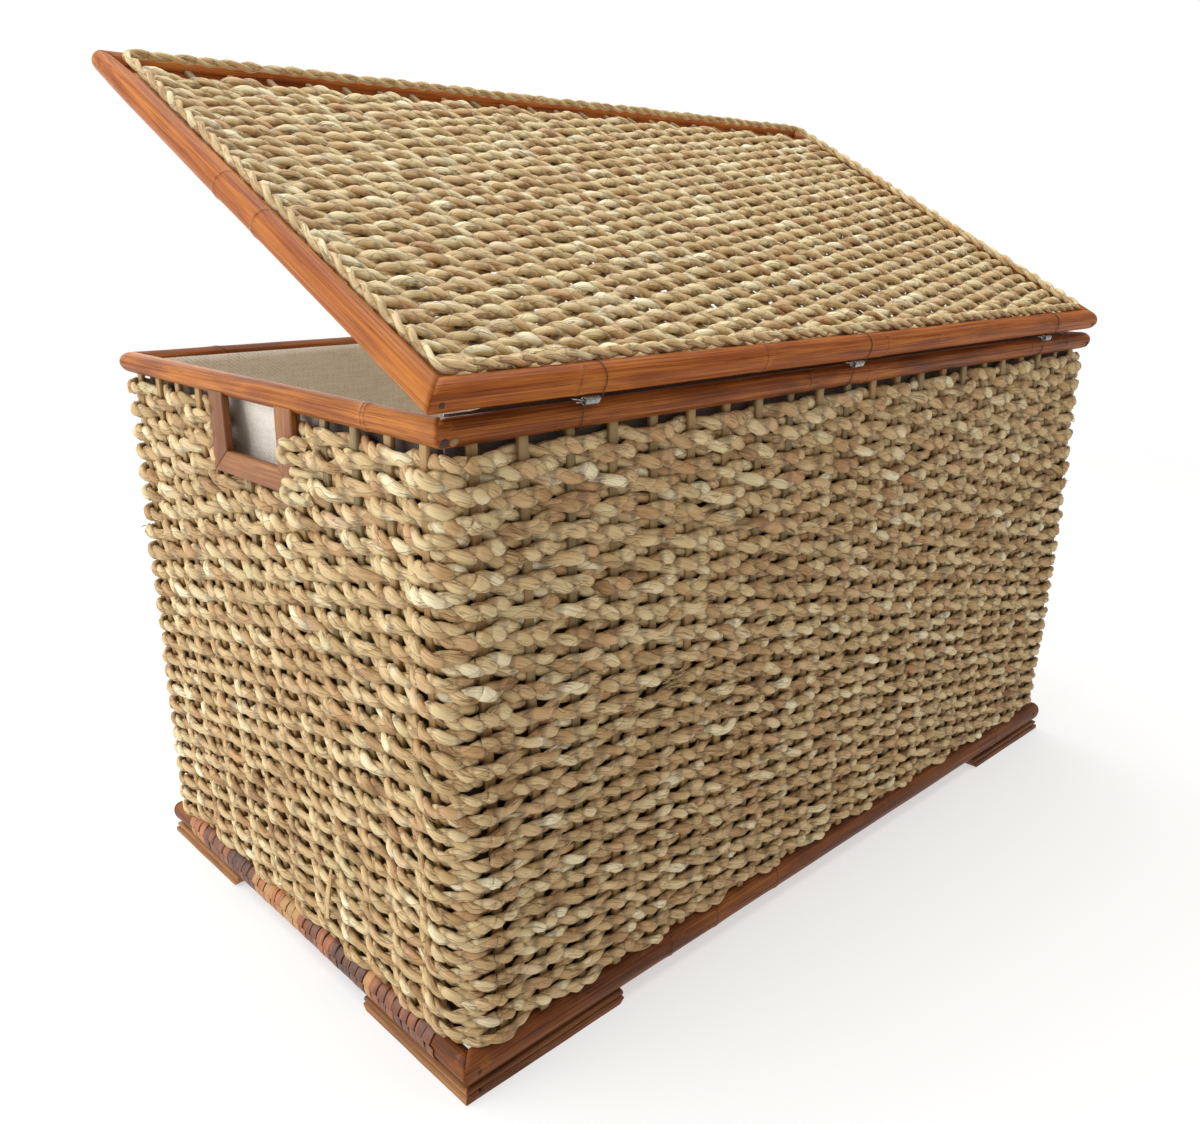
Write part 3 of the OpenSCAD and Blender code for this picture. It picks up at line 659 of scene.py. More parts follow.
def jamb_loop(build, upper, lower, mid, rng):
    """The end of a course turned over the edge of a hand-hold jamb and back, as two twisted strands."""
    e = FRAME_HALF + rng.uniform(-0.8, 0.8)
    zu, zl = upper.z, lower.z
    path = smooth_path([(e + 15, zu, 3.5), (e + 6, zu + 0.8, 7.5), (e - 3, zu + 0.6, 12.0),
                        (e - 8.5, (zu + zl) / 2, 13.0), (e - 4, zl - 0.8, 12.0), (e + 5, zl - 0.5, 8.0),
                        (e + 15, zl, 3.5)])
    at, n = ring_at(np.mod(mid + path[:, 0], upper.total), upper.r)
    c = np.zeros((len(path), 3))
    c[:, :2] = at + n * (path[:, 2] + (upper.z - path[:, 1]) * LEAN)[:, None]
    c[:, 2] = path[:, 1]
    side = np.concatenate([n, np.zeros((len(c), 1))], -1)
    u, w = frames(c, side)
    run = np.concatenate([[0], np.cumsum(np.linalg.norm(np.diff(c, axis=0), axis=1))])
    for which in (0, 1):
        phi = 2 * np.pi * run / 27.0 + which * np.pi + 1.0
        strand = c + u * (2.2 * np.cos(phi))[:, None] + w * (1.9 * np.sin(phi))[:, None]
        uu, ww = frames(strand, side)
        # third channel: painted shade where each strand tucks under the other
        tint = np.stack([0.62 + 0.25 * (rng.random() - 0.5) + 0 * phi, 0.5 + 0 * phi,
                         tuck_shade(phi), 0 * phi], -1)
        rip = 1 + 0.07 * np.sin(3 * angles(8)[None] + 0.4 * run[:, None])
        build.tube(strand, uu, ww, 3.5, 3.1, run + 700.0 * rng.random(), tint, wobble=rip)


def hairs(build, course_list, lo, hi, count, rng):
    """Loose fibres standing off the ropes."""
    for _ in range(count):
        co = course_list[rng.integers(len(course_list))]
        s0 = rng.uniform(lo, hi)
        ln = rng.uniform(5, 17)
        s = s0 + np.linspace(0, ln, 7) * rng.choice([-1, 1])
        c, side, _, aw, _, _ = co.strand(s, int(rng.integers(2)))
        by_grip = abs(c[0, 1]) < FRAME_HALF + 12 and abs(c[0, 0]) > NEAR_END
        if by_grip and co.strand(s[:1], 0)[0][0, 2] > FRAME_LOW - 6:
            continue
        lift = np.linspace(0, 1, 7) ** 1.5
        c = c + side * (aw * 0.9 + rng.uniform(0.8, 4.0) * lift)[:, None]
        c[:, 2] += rng.uniform(-5, 5) * lift
        u, w = frames(c, side)
        rad = rng.uniform(0.16, 0.42) * np.linspace(1, 0.4, 7)
        build.tube(c, u, w, rad * rng.uniform(1, 3.0), rad, s, (rng.uniform(0.15, 0.75), 0.5, 1, 0),
                   sides=4)


def weave_wall(name, node, which_wall, courses):
    b = Build()
    rng = np.random.default_rng(50 + which_wall)
    on_end = which_wall in (0, 2)
    looped = {}
    for z in LOOP_Z:
        k = int(np.argmin(np.abs(COURSE_Z - z - 4)))
        looped[k], looped[k - 1] = k, None
    for co in courses:
        lo, hi = co.limits[which_wall]
        arc = math.pi / 2 * co.r
        if on_end:
            lo, hi = lo - arc, hi + arc
        spans = [(lo, hi)]
        if on_end and co.z > FRAME_LOW - 2:
            mid = (lo + hi) / 2
            spans = [(lo, mid - FRAME_HALF + 3), (mid + FRAME_HALF + (10 if co.k in looped else -3), hi)]
            if looped.get(co.k) is not None:
                jamb_loop(b, co, courses[co.k - 1], mid, rng)
        for a, z in spans:
            for k in (0, 1):
                lay_strand(b, co, a, z, k)
    packing(b, courses[0], which_wall)
    lo, hi = courses[0].limits[which_wall]
    hairs(b, courses, lo, hi, 170 if on_end else 320, rng)
    if which_wall == 0:
        stray_leaf(b)
    if which_wall == 1:
        frayed_tuft(b, rng)
    return piece(b, name, rope_mat, "box", "leaf_rope", node)


def packing(build, first, which_wall):
    """The starting rope, tucked down behind the base rail under the first course."""
    lo, hi = first.limits[which_wall]
    arc = math.pi / 2 * first.r
    if which_wall in (0, 2):
        lo, hi = lo - arc, hi + arc
    s = np.linspace(lo, hi, int((hi - lo) / 6))
    p, n = ring_at(s, first.r)
    for inward, z, thick in ((6.5, 37.5, 5.0), (11.0, 33.0, 5.0)):
        c = np.concatenate([p - n * inward, np.full((len(s), 1), z)], -1)
        side = np.concatenate([n, np.zeros((len(s), 1))], -1)
        build.sweep(c, side, thick, thick, s + 90.0 * which_wall, (0.15, 0.5, 0.5, 0))


def stray_leaf(build):
    """A dry leaf end lying upright over the lower courses of the right-hand end."""
    path = smooth_path([(64, 62, 8.5), (68, 78, 10.0), (73, 96, 9.6), (75, 114, 7.0)])
    c = np.stack([RIM_X + (RIM_Z - path[:, 1]) * LEAN + path[:, 2], path[:, 0], path[:, 1]], -1)
    u, w = frames(c, (1.0, 0.2, 0.0))
    t = np.linspace(0, 1, len(c))
    build.tube(c, u, w, 3.4 * np.sqrt(np.clip(1.1 - t, 0.1, 1)), 0.7, 60 * t, (0.5, 0.1, 0.9, 0), sides=10)


TUFT_X, TUFT_Z = 246, 276


def frayed_tuft(build, rng):
    """A burst spot on the back wall where cut leaf ends stick out."""
    for _ in range(26):
        t = np.linspace(0, 1, 6)
        a = rng.uniform(-0.5, 0.9)
        ln = rng.uniform(8, 20)
        x0, z0 = TUFT_X + rng.uniform(-8, 8), TUFT_Z + rng.uniform(-5, 5)
        y = RIM_Y + (RIM_Z - z0) * LEAN + 5.5 + 4.5 * np.sin(2.2 * t)
        c = np.stack([x0 - ln * t * math.cos(a), y, z0 + ln * t * math.sin(a)], -1)
        build.sweep(c, (0, 1, 0), rng.uniform(0.4, 1.2) * (1.1 - t), 0.3, 20 * t,
                    (rng.uniform(0, 0.5), 0.95, 0.6, 0), sides=4)


courses = [Course(k) for k in range(COURSES)]
weave_wall("woven_right_end", "weave_right", 0, courses)
weave_wall("woven_back", "weave_back", 1, courses)
weave_wall("woven_left_end", "weave_left", 2, courses)
weave_wall("woven_front", "weave_front", 3, courses)


# ---------------------------------------------------------------- lid panel
def lid_rope():
    """One rope worked to and fro across the lid stakes, row by row from the hinge side."""
    b = Build()
    pitch = (LID_W_BACK - LID_W_FRONT) / LID_COURSES
    first = LID_SHIFT - (LID_STAKES - 1) / 2 * LID_STEP
    last = LID_SHIFT + (LID_STAKES - 1) / 2 * LID_STEP
    pts, rows = [], []
    for j in range(LID_COURSES):
        y = LID_W_BACK - (j + 0.5) * pitch
        xs = np.arange(first, last + 0.1, 2.7)
        if j % 2:
            xs = xs[::-1]
        pts.append(np.stack([xs, np.full(len(xs), y)], -1))
        rows.append(np.full(len(xs), j))
        if j < LID_COURSES - 1:
            a = np.linspace(0, np.pi, 7)[1:-1]
            sx = 1 if j % 2 == 0 else -1
            x0 = last if j % 2 == 0 else first
            pts.append(np.stack([x0 + sx * 9.5 * np.sin(a), y - pitch / 2 * (1 - np.cos(a))], -1))
            rows.append(j + np.linspace(0, 1, 7)[1:-1])
    p = np.concatenate(pts)
    j = np.concatenate(rows)
    ds = np.linalg.norm(np.diff(p, axis=0), axis=1)
    s = np.concatenate([[0], np.cumsum(ds)])
    rng = np.random.default_rng(77)
    idx = (p[:, 0] - first) / LID_STEP
    swing = np.cos(np.pi * (idx + np.round(j)))
    half = (j % 1 > 0)
    side_in = np.where(p[:, 0] > LID_SHIFT, LID_STAKES - 1, 0)
    swing = np.where(half, np.cos(np.pi * (side_in + j)), swing)
    c = np.abs(swing) ** 0.8
    phase_row = rng.uniform(0, 2 * np.pi, LID_COURSES + 1)
    jr = np.floor(j + 1e-9).astype(int)
    mixj = np.where(half, j - jr, 0)
    ph0 = phase_row[jr] * (1 - mixj) + phase_row[np.minimum(jr + 1, LID_COURSES)] * mixj
    wob = waves(rng, s, 120.0, 6)
    wob2 = waves(rng, s, 45.0, 6)
    turn = np.sin(np.pi * mixj)
    big = (1 + 0.11 * waves(rng, s, 22.0, 6)) * (1 + 0.12 * turn)
    slow = [waves(rng, s, 240.0, 8) for _ in (0, 1)]
    tone_tab = rng.random((2, 9000))
    hue_tab = rng.random((2, 9000))
    for which in (0, 1):
        phi = 2 * np.pi * p[:, 0] / 33.0 + ph0 + which * np.pi + 0.7 * wob
        rv = (2.0 + 0.6 * c) * big
        rd = 1.75
        centre = np.zeros((len(p), 3))
        centre[:, 0] = p[:, 0]
        drift = 0.54 * np.sin(p[:, 0] / 95.0 + j * 0.12)
        centre[:, 1] = p[:, 1] + rv * np.cos(phi) + 0.7 * wob2 + drift
        centre[:, 2] = LID_PZ + 0.6 + 3.5 * swing + rd * np.sin(phi) + 0.3 * wob + 1.8 * turn
        side = np.zeros((len(p), 3))
        side[:, 2] = 1
        u, w = frames(centre, side)
        cell = (np.floor(phi / np.pi).astype(int) + 37 * jr) % 9000
        tone, hue = tone_tab[which][cell], hue_tab[which][cell]
        front = 0.5 + 0.5 * np.sin(phi)
        pinch = 1 - 0.16 * (1 - front)
        # painted shade where the strand tucks under the other one, passed to the rope material as the tint's third
        # channel
        edge = tuck_shade(phi)
        tint = np.stack([0.60 + 0.42 * (tone - 0.5) + 0.15 * slow[which], hue, edge, j / LID_COURSES], -1)
        th = angles(8)
        rip = 1 + 0.07 * np.sin(3 * th[None] + 0.34 * s[:, None] + 5 * tone[:, None])
        beside = np.sin(phi) ** 2
        b.tube(centre, u, w, (3.5 + 0.2 * c) * big * pinch * (1 + 0.28 * beside),
               (2.8 + 0.25 * c) * big * pinch * (1 - 0.12 * beside), s + 60000.0 * which, tint, wobble=rip)
    piece(b, "lid_woven_panel", lid_rope_mat, "lid", "leaf_rope", "lid_weave")


lid_rope()


def border_rope():
    b = Build()
    off = (LID_R + 4.25 + 0.3) * math.sin(math.pi / 4)
    hx, hy, r = LID_X - off, LID_HALF - off, 7.0
    per = 4 * (hx - r) + 4 * (hy - r) + 2 * np.pi * r
    n = int(per / 2.2)
    s = np.arange(n) / n * per
    p, nn = ring_at(s, r, hx - r, hy - r)
    rng = np.random.default_rng(5)
    x = 2 * np.pi * s / per
    wob = sum(np.sin(k * x + rng.uniform(0, 7)) for k in (3, 7, 11, 19, 31)) / 2.2
    big = 1 + 0.07 * sum(np.sin(k * x + rng.uniform(0, 7)) for k in (33, 57, 71, 90)) / 1.5
    far = np.clip((-p[:, 1] - hy + 30) / 30, 0, 1)
    big = big * (1 - 0.14 * far)
    turns = round(per / 37.0)
    tab = rng.random((2, 2, 2 * turns + 4))
    for which in (0, 1):
        phi = turns * x + which * np.pi + 0.35 * wob
        c = np.zeros((n, 3))
        c[:, :2] = p + nn * (2.15 * big * np.sin(phi) + 0.3 * wob)[:, None]
        c[:, 0] += LID_SHIFT
        c[:, 1] += LID_MY
        c[:, 2] = LID_PZ + off + 2.15 * big * np.cos(phi) + 0.2 * wob
        side = np.concatenate([nn, np.zeros((n, 1))], -1)
        u, w = frames(c, side, True)
        cell = np.floor((phi + np.pi / 4) / np.pi).astype(int) % tab.shape[2]
        tone, hue = tab[which][0][cell], tab[which][1][cell]
        # painted shade, with some dirt: edge falls where the strand tucks under the other strand, and the rope
        # material darkens it there
        f = np.abs(np.sin(phi - np.pi / 4 - np.pi / 2))
        edge = np.clip(1.15 - (1 - f) ** 2, 0, 1)
        tint = np.stack([0.56 + 0.3 * (tone - 0.5), hue, edge, np.zeros(n)], -1)
        th = angles(10)
        rip = 1 + 0.07 * np.sin(3 * th[None] + 0.3 * s[:, None])
        b.tube(c, u, w, 2.35 * big, 2.35 * big, s + 400.0 * which, tint, closed=True, sides=10, wobble=rip)
    piece(b, "lid_border_twist", border_mat, "lid", "leaf_rope", "lid_border_rope")


border_rope()


# ---------------------------------------------------------------- poles
BLUNT = 2.5


def pole(name, node, body, mat, slot, centre, axis, half, r, sign, seed, taper=0.0, tall=1.0,
         blunt=""):
    """Rattan pole along X or Y, mitred, with joints along it; taper thins its low end."""
    rng = np.random.default_rng(seed)
    b = Build()
    sides = 40
    L = half + r
    n = int(2 * L / 5) + 1
    base_t = np.linspace(-1, 1, n)
    knots = np.sort(rng.uniform(-0.92, 0.92, max(2, int(2 * L / 210))) * L)
    extra = np.concatenate([k + np.array([-3.2, -2.0, -1.0, -0.4, 0, 0.4, 1.0, 2.0, 3.2]) for k in knots])
    xs = np.sort(np.concatenate([base_t * L, extra[(extra > -L + 1) & (extra < L - 1)]]))
    t = xs / L
    swell = np.zeros(len(xs))
    ring = np.zeros(len(xs))
    for k in knots:
        d = xs - k
        swell += 0.25 * np.exp(-(d / 6.0) ** 2) + 0.28 * np.exp(-(d / 1.4) ** 2)
        ring = np.maximum(ring, np.exp(-((d - 0.6) / 1.1) ** 2))
    thin = np.clip((-t - 0.72) / 0.28, 0, 1) ** 1.5
    rad = r - 0.25 + swell + 0.12 * waves(rng, xs, 160) - taper * thin
    th = angles(sides)
    dy = rad[:, None] * np.cos(th)[None]
    dz = tall * rad[:, None] * np.sin(th)[None]
    bow_y = 0.35 * waves(rng, xs, 700, 3) * (1 - t ** 2)
    bow_z = 0.25 * waves(rng, xs, 600, 3) * (1 - t ** 2) - 0.6 * taper * thin
    cut = {"low": t < 0, "both": t < 2}.get(blunt, t > 2)
    reach = half + np.where(cut[:, None], np.minimum(dy, BLUNT), dy)
    along = t[:, None] * reach
    out = dy + bow_y[:, None]
    up = dz + bow_z[:, None]
    cx, cy, cz = centre
    if axis == "x":
        verts = np.stack([cx + along, cy + sign * out, cz + up], -1)
    else:
        verts = np.stack([cx + sign * out, cy + along, cz + up], -1)
    m = np.arange(sides)
    i = np.arange(len(xs) - 1)
    a, bb = i[:, None] * sides + m, i[:, None] * sides + (m + 1) % sides
    quads = np.stack([a, bb, bb + sides, a + sides], -1)
    flip = (axis == "x") == (sign > 0)
    if flip:
        quads = quads[..., ::-1]
    flow = np.stack([along + 50 * seed, dy, dz], -1) * MM
    wear = np.broadcast_to(0.4 + 0.6 * (np.abs(t) ** 8)[:, None], dy.shape)
    tint = np.stack([np.full_like(dy, rng.uniform(0.3, 0.7)), np.broadcast_to(ring[:, None], dy.shape),
                     wear, np.ones_like(dy)], -1)
    caps = [m if flip else m[::-1], (len(xs) - 1) * sides + (m[::-1] if flip else m)]
    b.add(verts, quads, flow, tint, caps)
    return piece(b, name, mat, body, slot, node)


SIDES = (("back", "y", 1), ("front", "y", -1), ("right", "x", 1), ("left", "x", -1))
TAPER = 2.2      # the lid's poles are thinner at the front
PEEL_ROOM = 0.55  # the end base poles are thinner, under their peel


def pole_ring(name, node, mat, slot, half, z, radii, seed, **more):
    """The four poles of the rim or the base; half and radii hold the long poles' value and the end poles'."""
    for i, (side, out, sg) in enumerate(SIDES, 1):
        end = out == "x"
        at = (sg * half[0], 0, z) if end else (0, sg * half[1], z)
        pole(name + side, node + side, "box", mat, slot, at, "y" if end else "x", half[end], radii[end], sg,
             seed + i, **more)


pole_ring("rim_pole_", "rim_", rim_mat, "rattan_pole", (RIM_X, RIM_Y), RIM_Z, (RIM_R, RIM_R), 10)
pole_ring("base_pole_", "base_rail_", base_mat, "rattan_dark", (BASE_X, BASE_Y), BASE_MID,
          (BASE_R, BASE_R - PEEL_ROOM), 20, tall=BASE_TALL)
pole("lid_pole_back", "lid_rail_back", "lid", lid_mat, "rattan_pole", (LID_SHIFT, LID_PY, LID_PZ), "x",
     LID_X, LID_R, 1, 31)
pole("lid_pole_front", "lid_rail_front", "lid", lid_mat, "rattan_pole",
     (LID_SHIFT, LID_FY, LID_PZ - 0.6 * TAPER), "x", LID_X, LID_R - TAPER, -1, 32, blunt="both")
for side, sg, sd in (("right", 1, 33), ("left", -1, 34)):
    pole("lid_pole_" + side, "lid_rail_" + side, "lid", lid_mat, "rattan_pole",
         (LID_SHIFT + sg * LID_X, LID_MY, LID_PZ), "y", LID_HALF, LID_R, sg, sd, TAPER, blunt="low")


# ---------------------------------------------------------------- peel round the end base poles
PEEL_STEP = 10.8


def peel(name, node, sx):
    rng = np.random.default_rng(60 + sx)
    b = Build()
    count = int((2 * BASE_Y - 60) // PEEL_STEP)
    tone, left = 0.5, 0
    for i in range(count):
        if left == 0:
            tone, left = rng.choice([0.12, 0.3, 0.5, 0.62, 0.8]), rng.integers(2, 6)
        left -= 1
        y0 = (i - (count - 1) / 2) * PEEL_STEP
        near = 0.75 if y0 > 130 else 0.0
        th = np.linspace(0, 2 * np.pi, 33) + 0.2
        wid = rng.uniform(4.9, 5.35)
        lean = rng.uniform(0.6, 2.8)
        r = BASE_R - 0.25 + rng.uniform(-0.2, 0.2)
        y = y0 + lean * (th - np.pi) / np.pi + rng.uniform(-0.4, 0.4)
        y = y + 0.5 * np.sin(3 * th + rng.uniform(0, 6))
        c = np.stack([sx * (BASE_X + r * np.cos(th)), y, BASE_MID + BASE_TALL * r * np.sin(th)], -1)
        side = unit(np.stack([sx * np.cos(th), 0 * th, np.sin(th) / BASE_TALL], -1))
        u, w = frames(c, side)
        shade = np.clip(tone * (1 - near) + 0.16 * near + rng.uniform(-0.09, 0.09), 0, 1)
        b.tube(c, u, w, wid, 0.5 + 0.1 * rng.random(), th * BASE_R + 70 * i, (shade, 0, 0, 1), sides=12,
               power=0.6)
    piece(b, name, peel_mat, "box", "rattan_peel", node)


peel("peel_right", "base_wrap_right", 1)
peel("peel_left", "base_wrap_left", -1)


# ---------------------------------------------------------------- stakes and posts
def slats(name, nodes, body, mat, slot, runs, seed, half_w, half_t, square=0.6):
    """Split cane strips: each run is (start, end, width direction, face direction)."""
    rng = np.random.default_rng(seed)
    b = Build()
    for a, z, wide, face in runs:
        a, z, wide, face = (np.asarray(x, float) for x in (a, z, wide, face))
        ln = np.linalg.norm(z - a)
        n = max(int(ln / 8), 3)
        t = np.linspace(0, 1, n + 1)
        c = a + (z - a) * t[:, None] + wide * (0.5 * waves(rng, t * ln, 180))[:, None]
        u, w = frames(c, np.broadcast_to(face, c.shape))
        knot = rng.uniform(0.1, 0.9, 2)
        ring = sum(np.exp(-((t - k) * ln / 3.0) ** 2) for k in knot)
        tint = np.stack([np.full(n + 1, rng.uniform(0.05, 0.95)), np.clip(ring, 0, 1), 0 * t, 1 + 0 * t], -1)
        b.tube(c, u, w, half_w * (1 + 0.05 * waves(rng, t * ln, 60)), half_t,
               t * ln + 500 * rng.random(), tint, sides=16, power=square)
    return piece(b, name, mat, body, slot, *nodes)


def wall_point(out_axis, sign, at, z, out=0.0):
    """A point on a wall's centre plane: at along the wall, z up, out of the wall by out."""
    lean = (RIM_Z - z) * LEAN
    if out_axis == "y":
        return (at, sign * (RIM_Y + lean + out), z)
    return (sign * (RIM_X + lean + out), at, z)


for side, ax, sg in SIDES:
    cnt, step = (STAKES_LONG, LONG_STEP) if ax == "y" else (STAKES_END, END_STEP)
    runs = []
    for i in range(cnt):
        at = (i - (cnt - 1) / 2) * step
        top = FRAME_LOW - 1 if ax == "x" and abs(at) < GRIP_HALF else RIM_Z - 4
        wide = (1, 0, 0) if ax == "y" else (0, 1, 0)
        face = (0, sg, 0) if ax == "y" else (sg, 0, 0)
        runs.append((wall_point(ax, sg, at, 31, 0.5), wall_point(ax, sg, at, top, 0.5), wide, face))
    slats("cane_" + side, ["stakes_" + side], "box", stake_mat, "split_cane", runs, 70 + len(side) + sg,
          4.0, 2.3, 0.42)

at_x = [LID_SHIFT + (i - (LID_STAKES - 1) / 2) * LID_STEP for i in range(LID_STAKES)]
runs = [((x, LID_PY - 4, LID_PZ), (x, LID_FY + 4, LID_PZ), (1, 0, 0), (0, 0, 1)) for x in at_x]
slats("lid_cane", ["lid_stakes"], "lid", stake_mat, "split_cane", runs, 81, 3.0, 1.6)
strip_y, strip_z, strip_half = (LID_W_FRONT + LID_FY + LID_R) / 2 - 1, LID_PZ - 3.4, LID_X - LID_R - 1
slats("lid_front_strip", ["lid_edge_strip"], "lid", edge_mat, "rattan_slat",
      [((LID_SHIFT - strip_half, strip_y, strip_z), (LID_SHIFT + strip_half, strip_y, strip_z), (0, 1, 0),
        (0, 0, 1))], 82, 5.0, 1.5)


# ---------------------------------------------------------------- hand-hold frames
def prism(b, outline, depth_axis, thick, seed, along_axis, bevel=1.0, tone=0.5):
    """A flat slat: outline (k,3) is its outer face, pushed in by thick, with rounded outer edges."""
    o = np.asarray(outline, float)
    mid = o.mean(0)
    d = np.asarray(depth_axis, float)
    ins = []
    k = len(o)
    for i in range(k):
        a, c, e = o[i - 1], o[i], o[(i + 1) % k]
        n1 = unit(np.cross(d, unit(c - a)))
        n2 = unit(np.cross(d, unit(e - c)))
        if np.dot(mid - c, n1) < 0:
            n1 = -n1
        if np.dot(mid - c, n2) < 0:
            n2 = -n2
        ins.append((n1 + n2) / (1 + np.dot(n1, n2)))
    ins = np.array(ins)
    dense = 9
    loops = []
    for step_in, down in ((0.0, thick), (0.0, bevel), (bevel * 0.3, bevel * 0.3), (bevel, 0.0)):
        q = o + ins * step_in - d * down
        pts = []
        for i in range(k):
            t = np.linspace(0, 1, dense, endpoint=False)[:, None]
            pts.append(q[i] * (1 - t) + q[(i + 1) % k] * t)
        loops.append(np.concatenate(pts))
    v = np.stack(loops)
    m = v.shape[1]
    i = np.arange(3)
    j = np.arange(m)
    quads = np.stack([i[:, None] * m + j, i[:, None] * m + (j + 1) % m,
                      (i[:, None] + 1) * m + (j + 1) % m, (i[:, None] + 1) * m + j], -1)
    al = np.asarray(along_axis, float)
    cr = np.cross(al, d)
    flow = np.stack([(v @ al) + 90 * seed, v @ cr, v @ d], -1) * MM
    tint = np.array((tone, 0, 0.3, 1.0))
    top = 3 * m + j
    test = np.cross(v[0, m // 3] - v[0, 0], v[0, 2 * m // 3] - v[0, 0])
    if np.dot(test, d) < 0:
        quads = quads[..., ::-1]
        top = top[::-1]
        back = j
    else:
        back = j[::-1]
    b.add(v, quads, flow, tint, [top, back])


GRIP_THICK = 6.2


def handle(tag, sx):
    d = np.array([sx * math.cos(math.atan(LEAN)), 0, math.sin(math.atan(LEAN))])
    up = unit(np.array([-sx * LEAN, 0, 1.0]))
    origin = np.array([sx * RIM_X, 0, RIM_Z]) + d * 8.5
    low = (RIM_Z - FRAME_LOW)

    def at(y, h):
        return origin + up * (-low + h) + np.array([0, y, 0])

    top = GRIP_H + SILL_H + 4.2
    b = Build()
    prism(b, [at(-FRAME_HALF, 0), at(FRAME_HALF, 0), at(GRIP_HALF, SILL_H), at(-GRIP_HALF, SILL_H)], d,
          GRIP_THICK, 3, (0, 1, 0), 1.3, 0.62)
    piece(b, f"grip_{tag}_sill", slat_mat, "box", "rattan_slat", f"handle_{tag}_sill")
    for nm, sy in (("front", -1), ("back", 1)):
        b = Build()
        outer, inner = sy * FRAME_HALF, sy * GRIP_HALF
        prism(b, [at(outer, 0), at(outer, top), at(inner, top), at(inner, SILL_H)], d, GRIP_THICK, 4 + sy, up,
              1.3, 0.55 + 0.1 * sy)
        piece(b, f"grip_{tag}_{nm}", slat_mat, "box", "rattan_slat", f"handle_{tag}_jamb_{nm}")


handle("right", 1)
handle("left", -1)


# ---------------------------------------------------------------- feet
FOOT_LOW = 0.57  # the feet show lower than the CAD's, under the deeper rail


def foot(name, node, length, along_x, sx, sy, mat, seed):
    """Moulded board with a stepped outer face, mitred at the corner and rounded at its free end."""
    prof = [(0, 0.4), (0, 7.4), (0.35, 8.4), (1.3, 9.2), (2.6, 9.7), (3.1, 10.4), (3.1, 11.3), (2.4, 11.9),
            (1.7, 12.6), (1.5, 13.6), (1.6, 17.0), (2.6, 18.6), (5.2, 19.4), (21.5, 19.8), (22, 19.3), (22, 0.5),
            (21.5, 0.0), (0.4, 0.0)]
    prof = [(inward, h * FOOT_LOW) for inward, h in prof]
    b = Build()
    n = int(length / 6)
    rng = np.random.default_rng(seed)
    verts = []
    for inward, h in prof:
        start = inward
        rr = 12.0 * FOOT_LOW
        end = length if h >= rr else length - rr + math.sqrt(max(rr * rr - (rr - h) ** 2, 0))
        t = np.linspace(0, 1, n)
        a = start + (end - start) * t
        wob = 0.12 * waves(rng, a, 70)
        verts.append(np.stack([a, inward + wob * (1 if inward < 4 else 0), np.full(n, h)], -1))
    v = np.stack(verts, 1)
    k = len(prof)
    a, inw, h = v[..., 0], v[..., 1], v[..., 2]
    if along_x:
        w = np.stack([sx * (BASE_OUT_X - a), sy * (BASE_OUT_Y - inw), h], -1)
    else:
        w = np.stack([sx * (BASE_OUT_X - inw), sy * (BASE_OUT_Y - a), h], -1)
    i = np.arange(n - 1)
    m = np.arange(k)
    q = np.stack([i[:, None] * k + m, i[:, None] * k + (m + 1) % k, (i[:, None] + 1) * k + (m + 1) % k,
                  (i[:, None] + 1) * k + m], -1)
    flip = (sx * sy > 0) == along_x
    if flip:
        q = q[..., ::-1]
    # painted shade in the moulding's groove, passed to the material's ring channel
    groove = np.exp(-((h / FOOT_LOW - 10.8) / 0.8) ** 2)
    flow = np.stack([a + 80 * seed, inw * 1.0, h], -1) * MM
    ones = np.ones_like(a)
    tint = np.stack([ones * rng.uniform(0.35, 0.65), groove * (inw < 8), ones, ones], -1)
    caps = [m if flip else m[::-1], (n - 1) * k + (m[::-1] if flip else m)]
    b.add(w, q, flow, tint, caps)
    ob = piece(b, name, mat, "box", "foot_wood", node)
    me = ob.data
    me.set_sharp_from_angle(angle=math.radians(38))
    return ob


for tag, sx, sy in (("fl", -1, -1), ("fr", 1, -1), ("bl", -1, 1), ("br", 1, 1)):
    foot("bracket_long_" + tag, "foot_long_" + tag, 165, True, sx, sy, foot_mat, 100 + sx + 2 * sy)
    foot("bracket_end_" + tag, "foot_end_" + tag, 143, False, sx, sy, foot_end_mat, 110 + sx + 2 * sy)


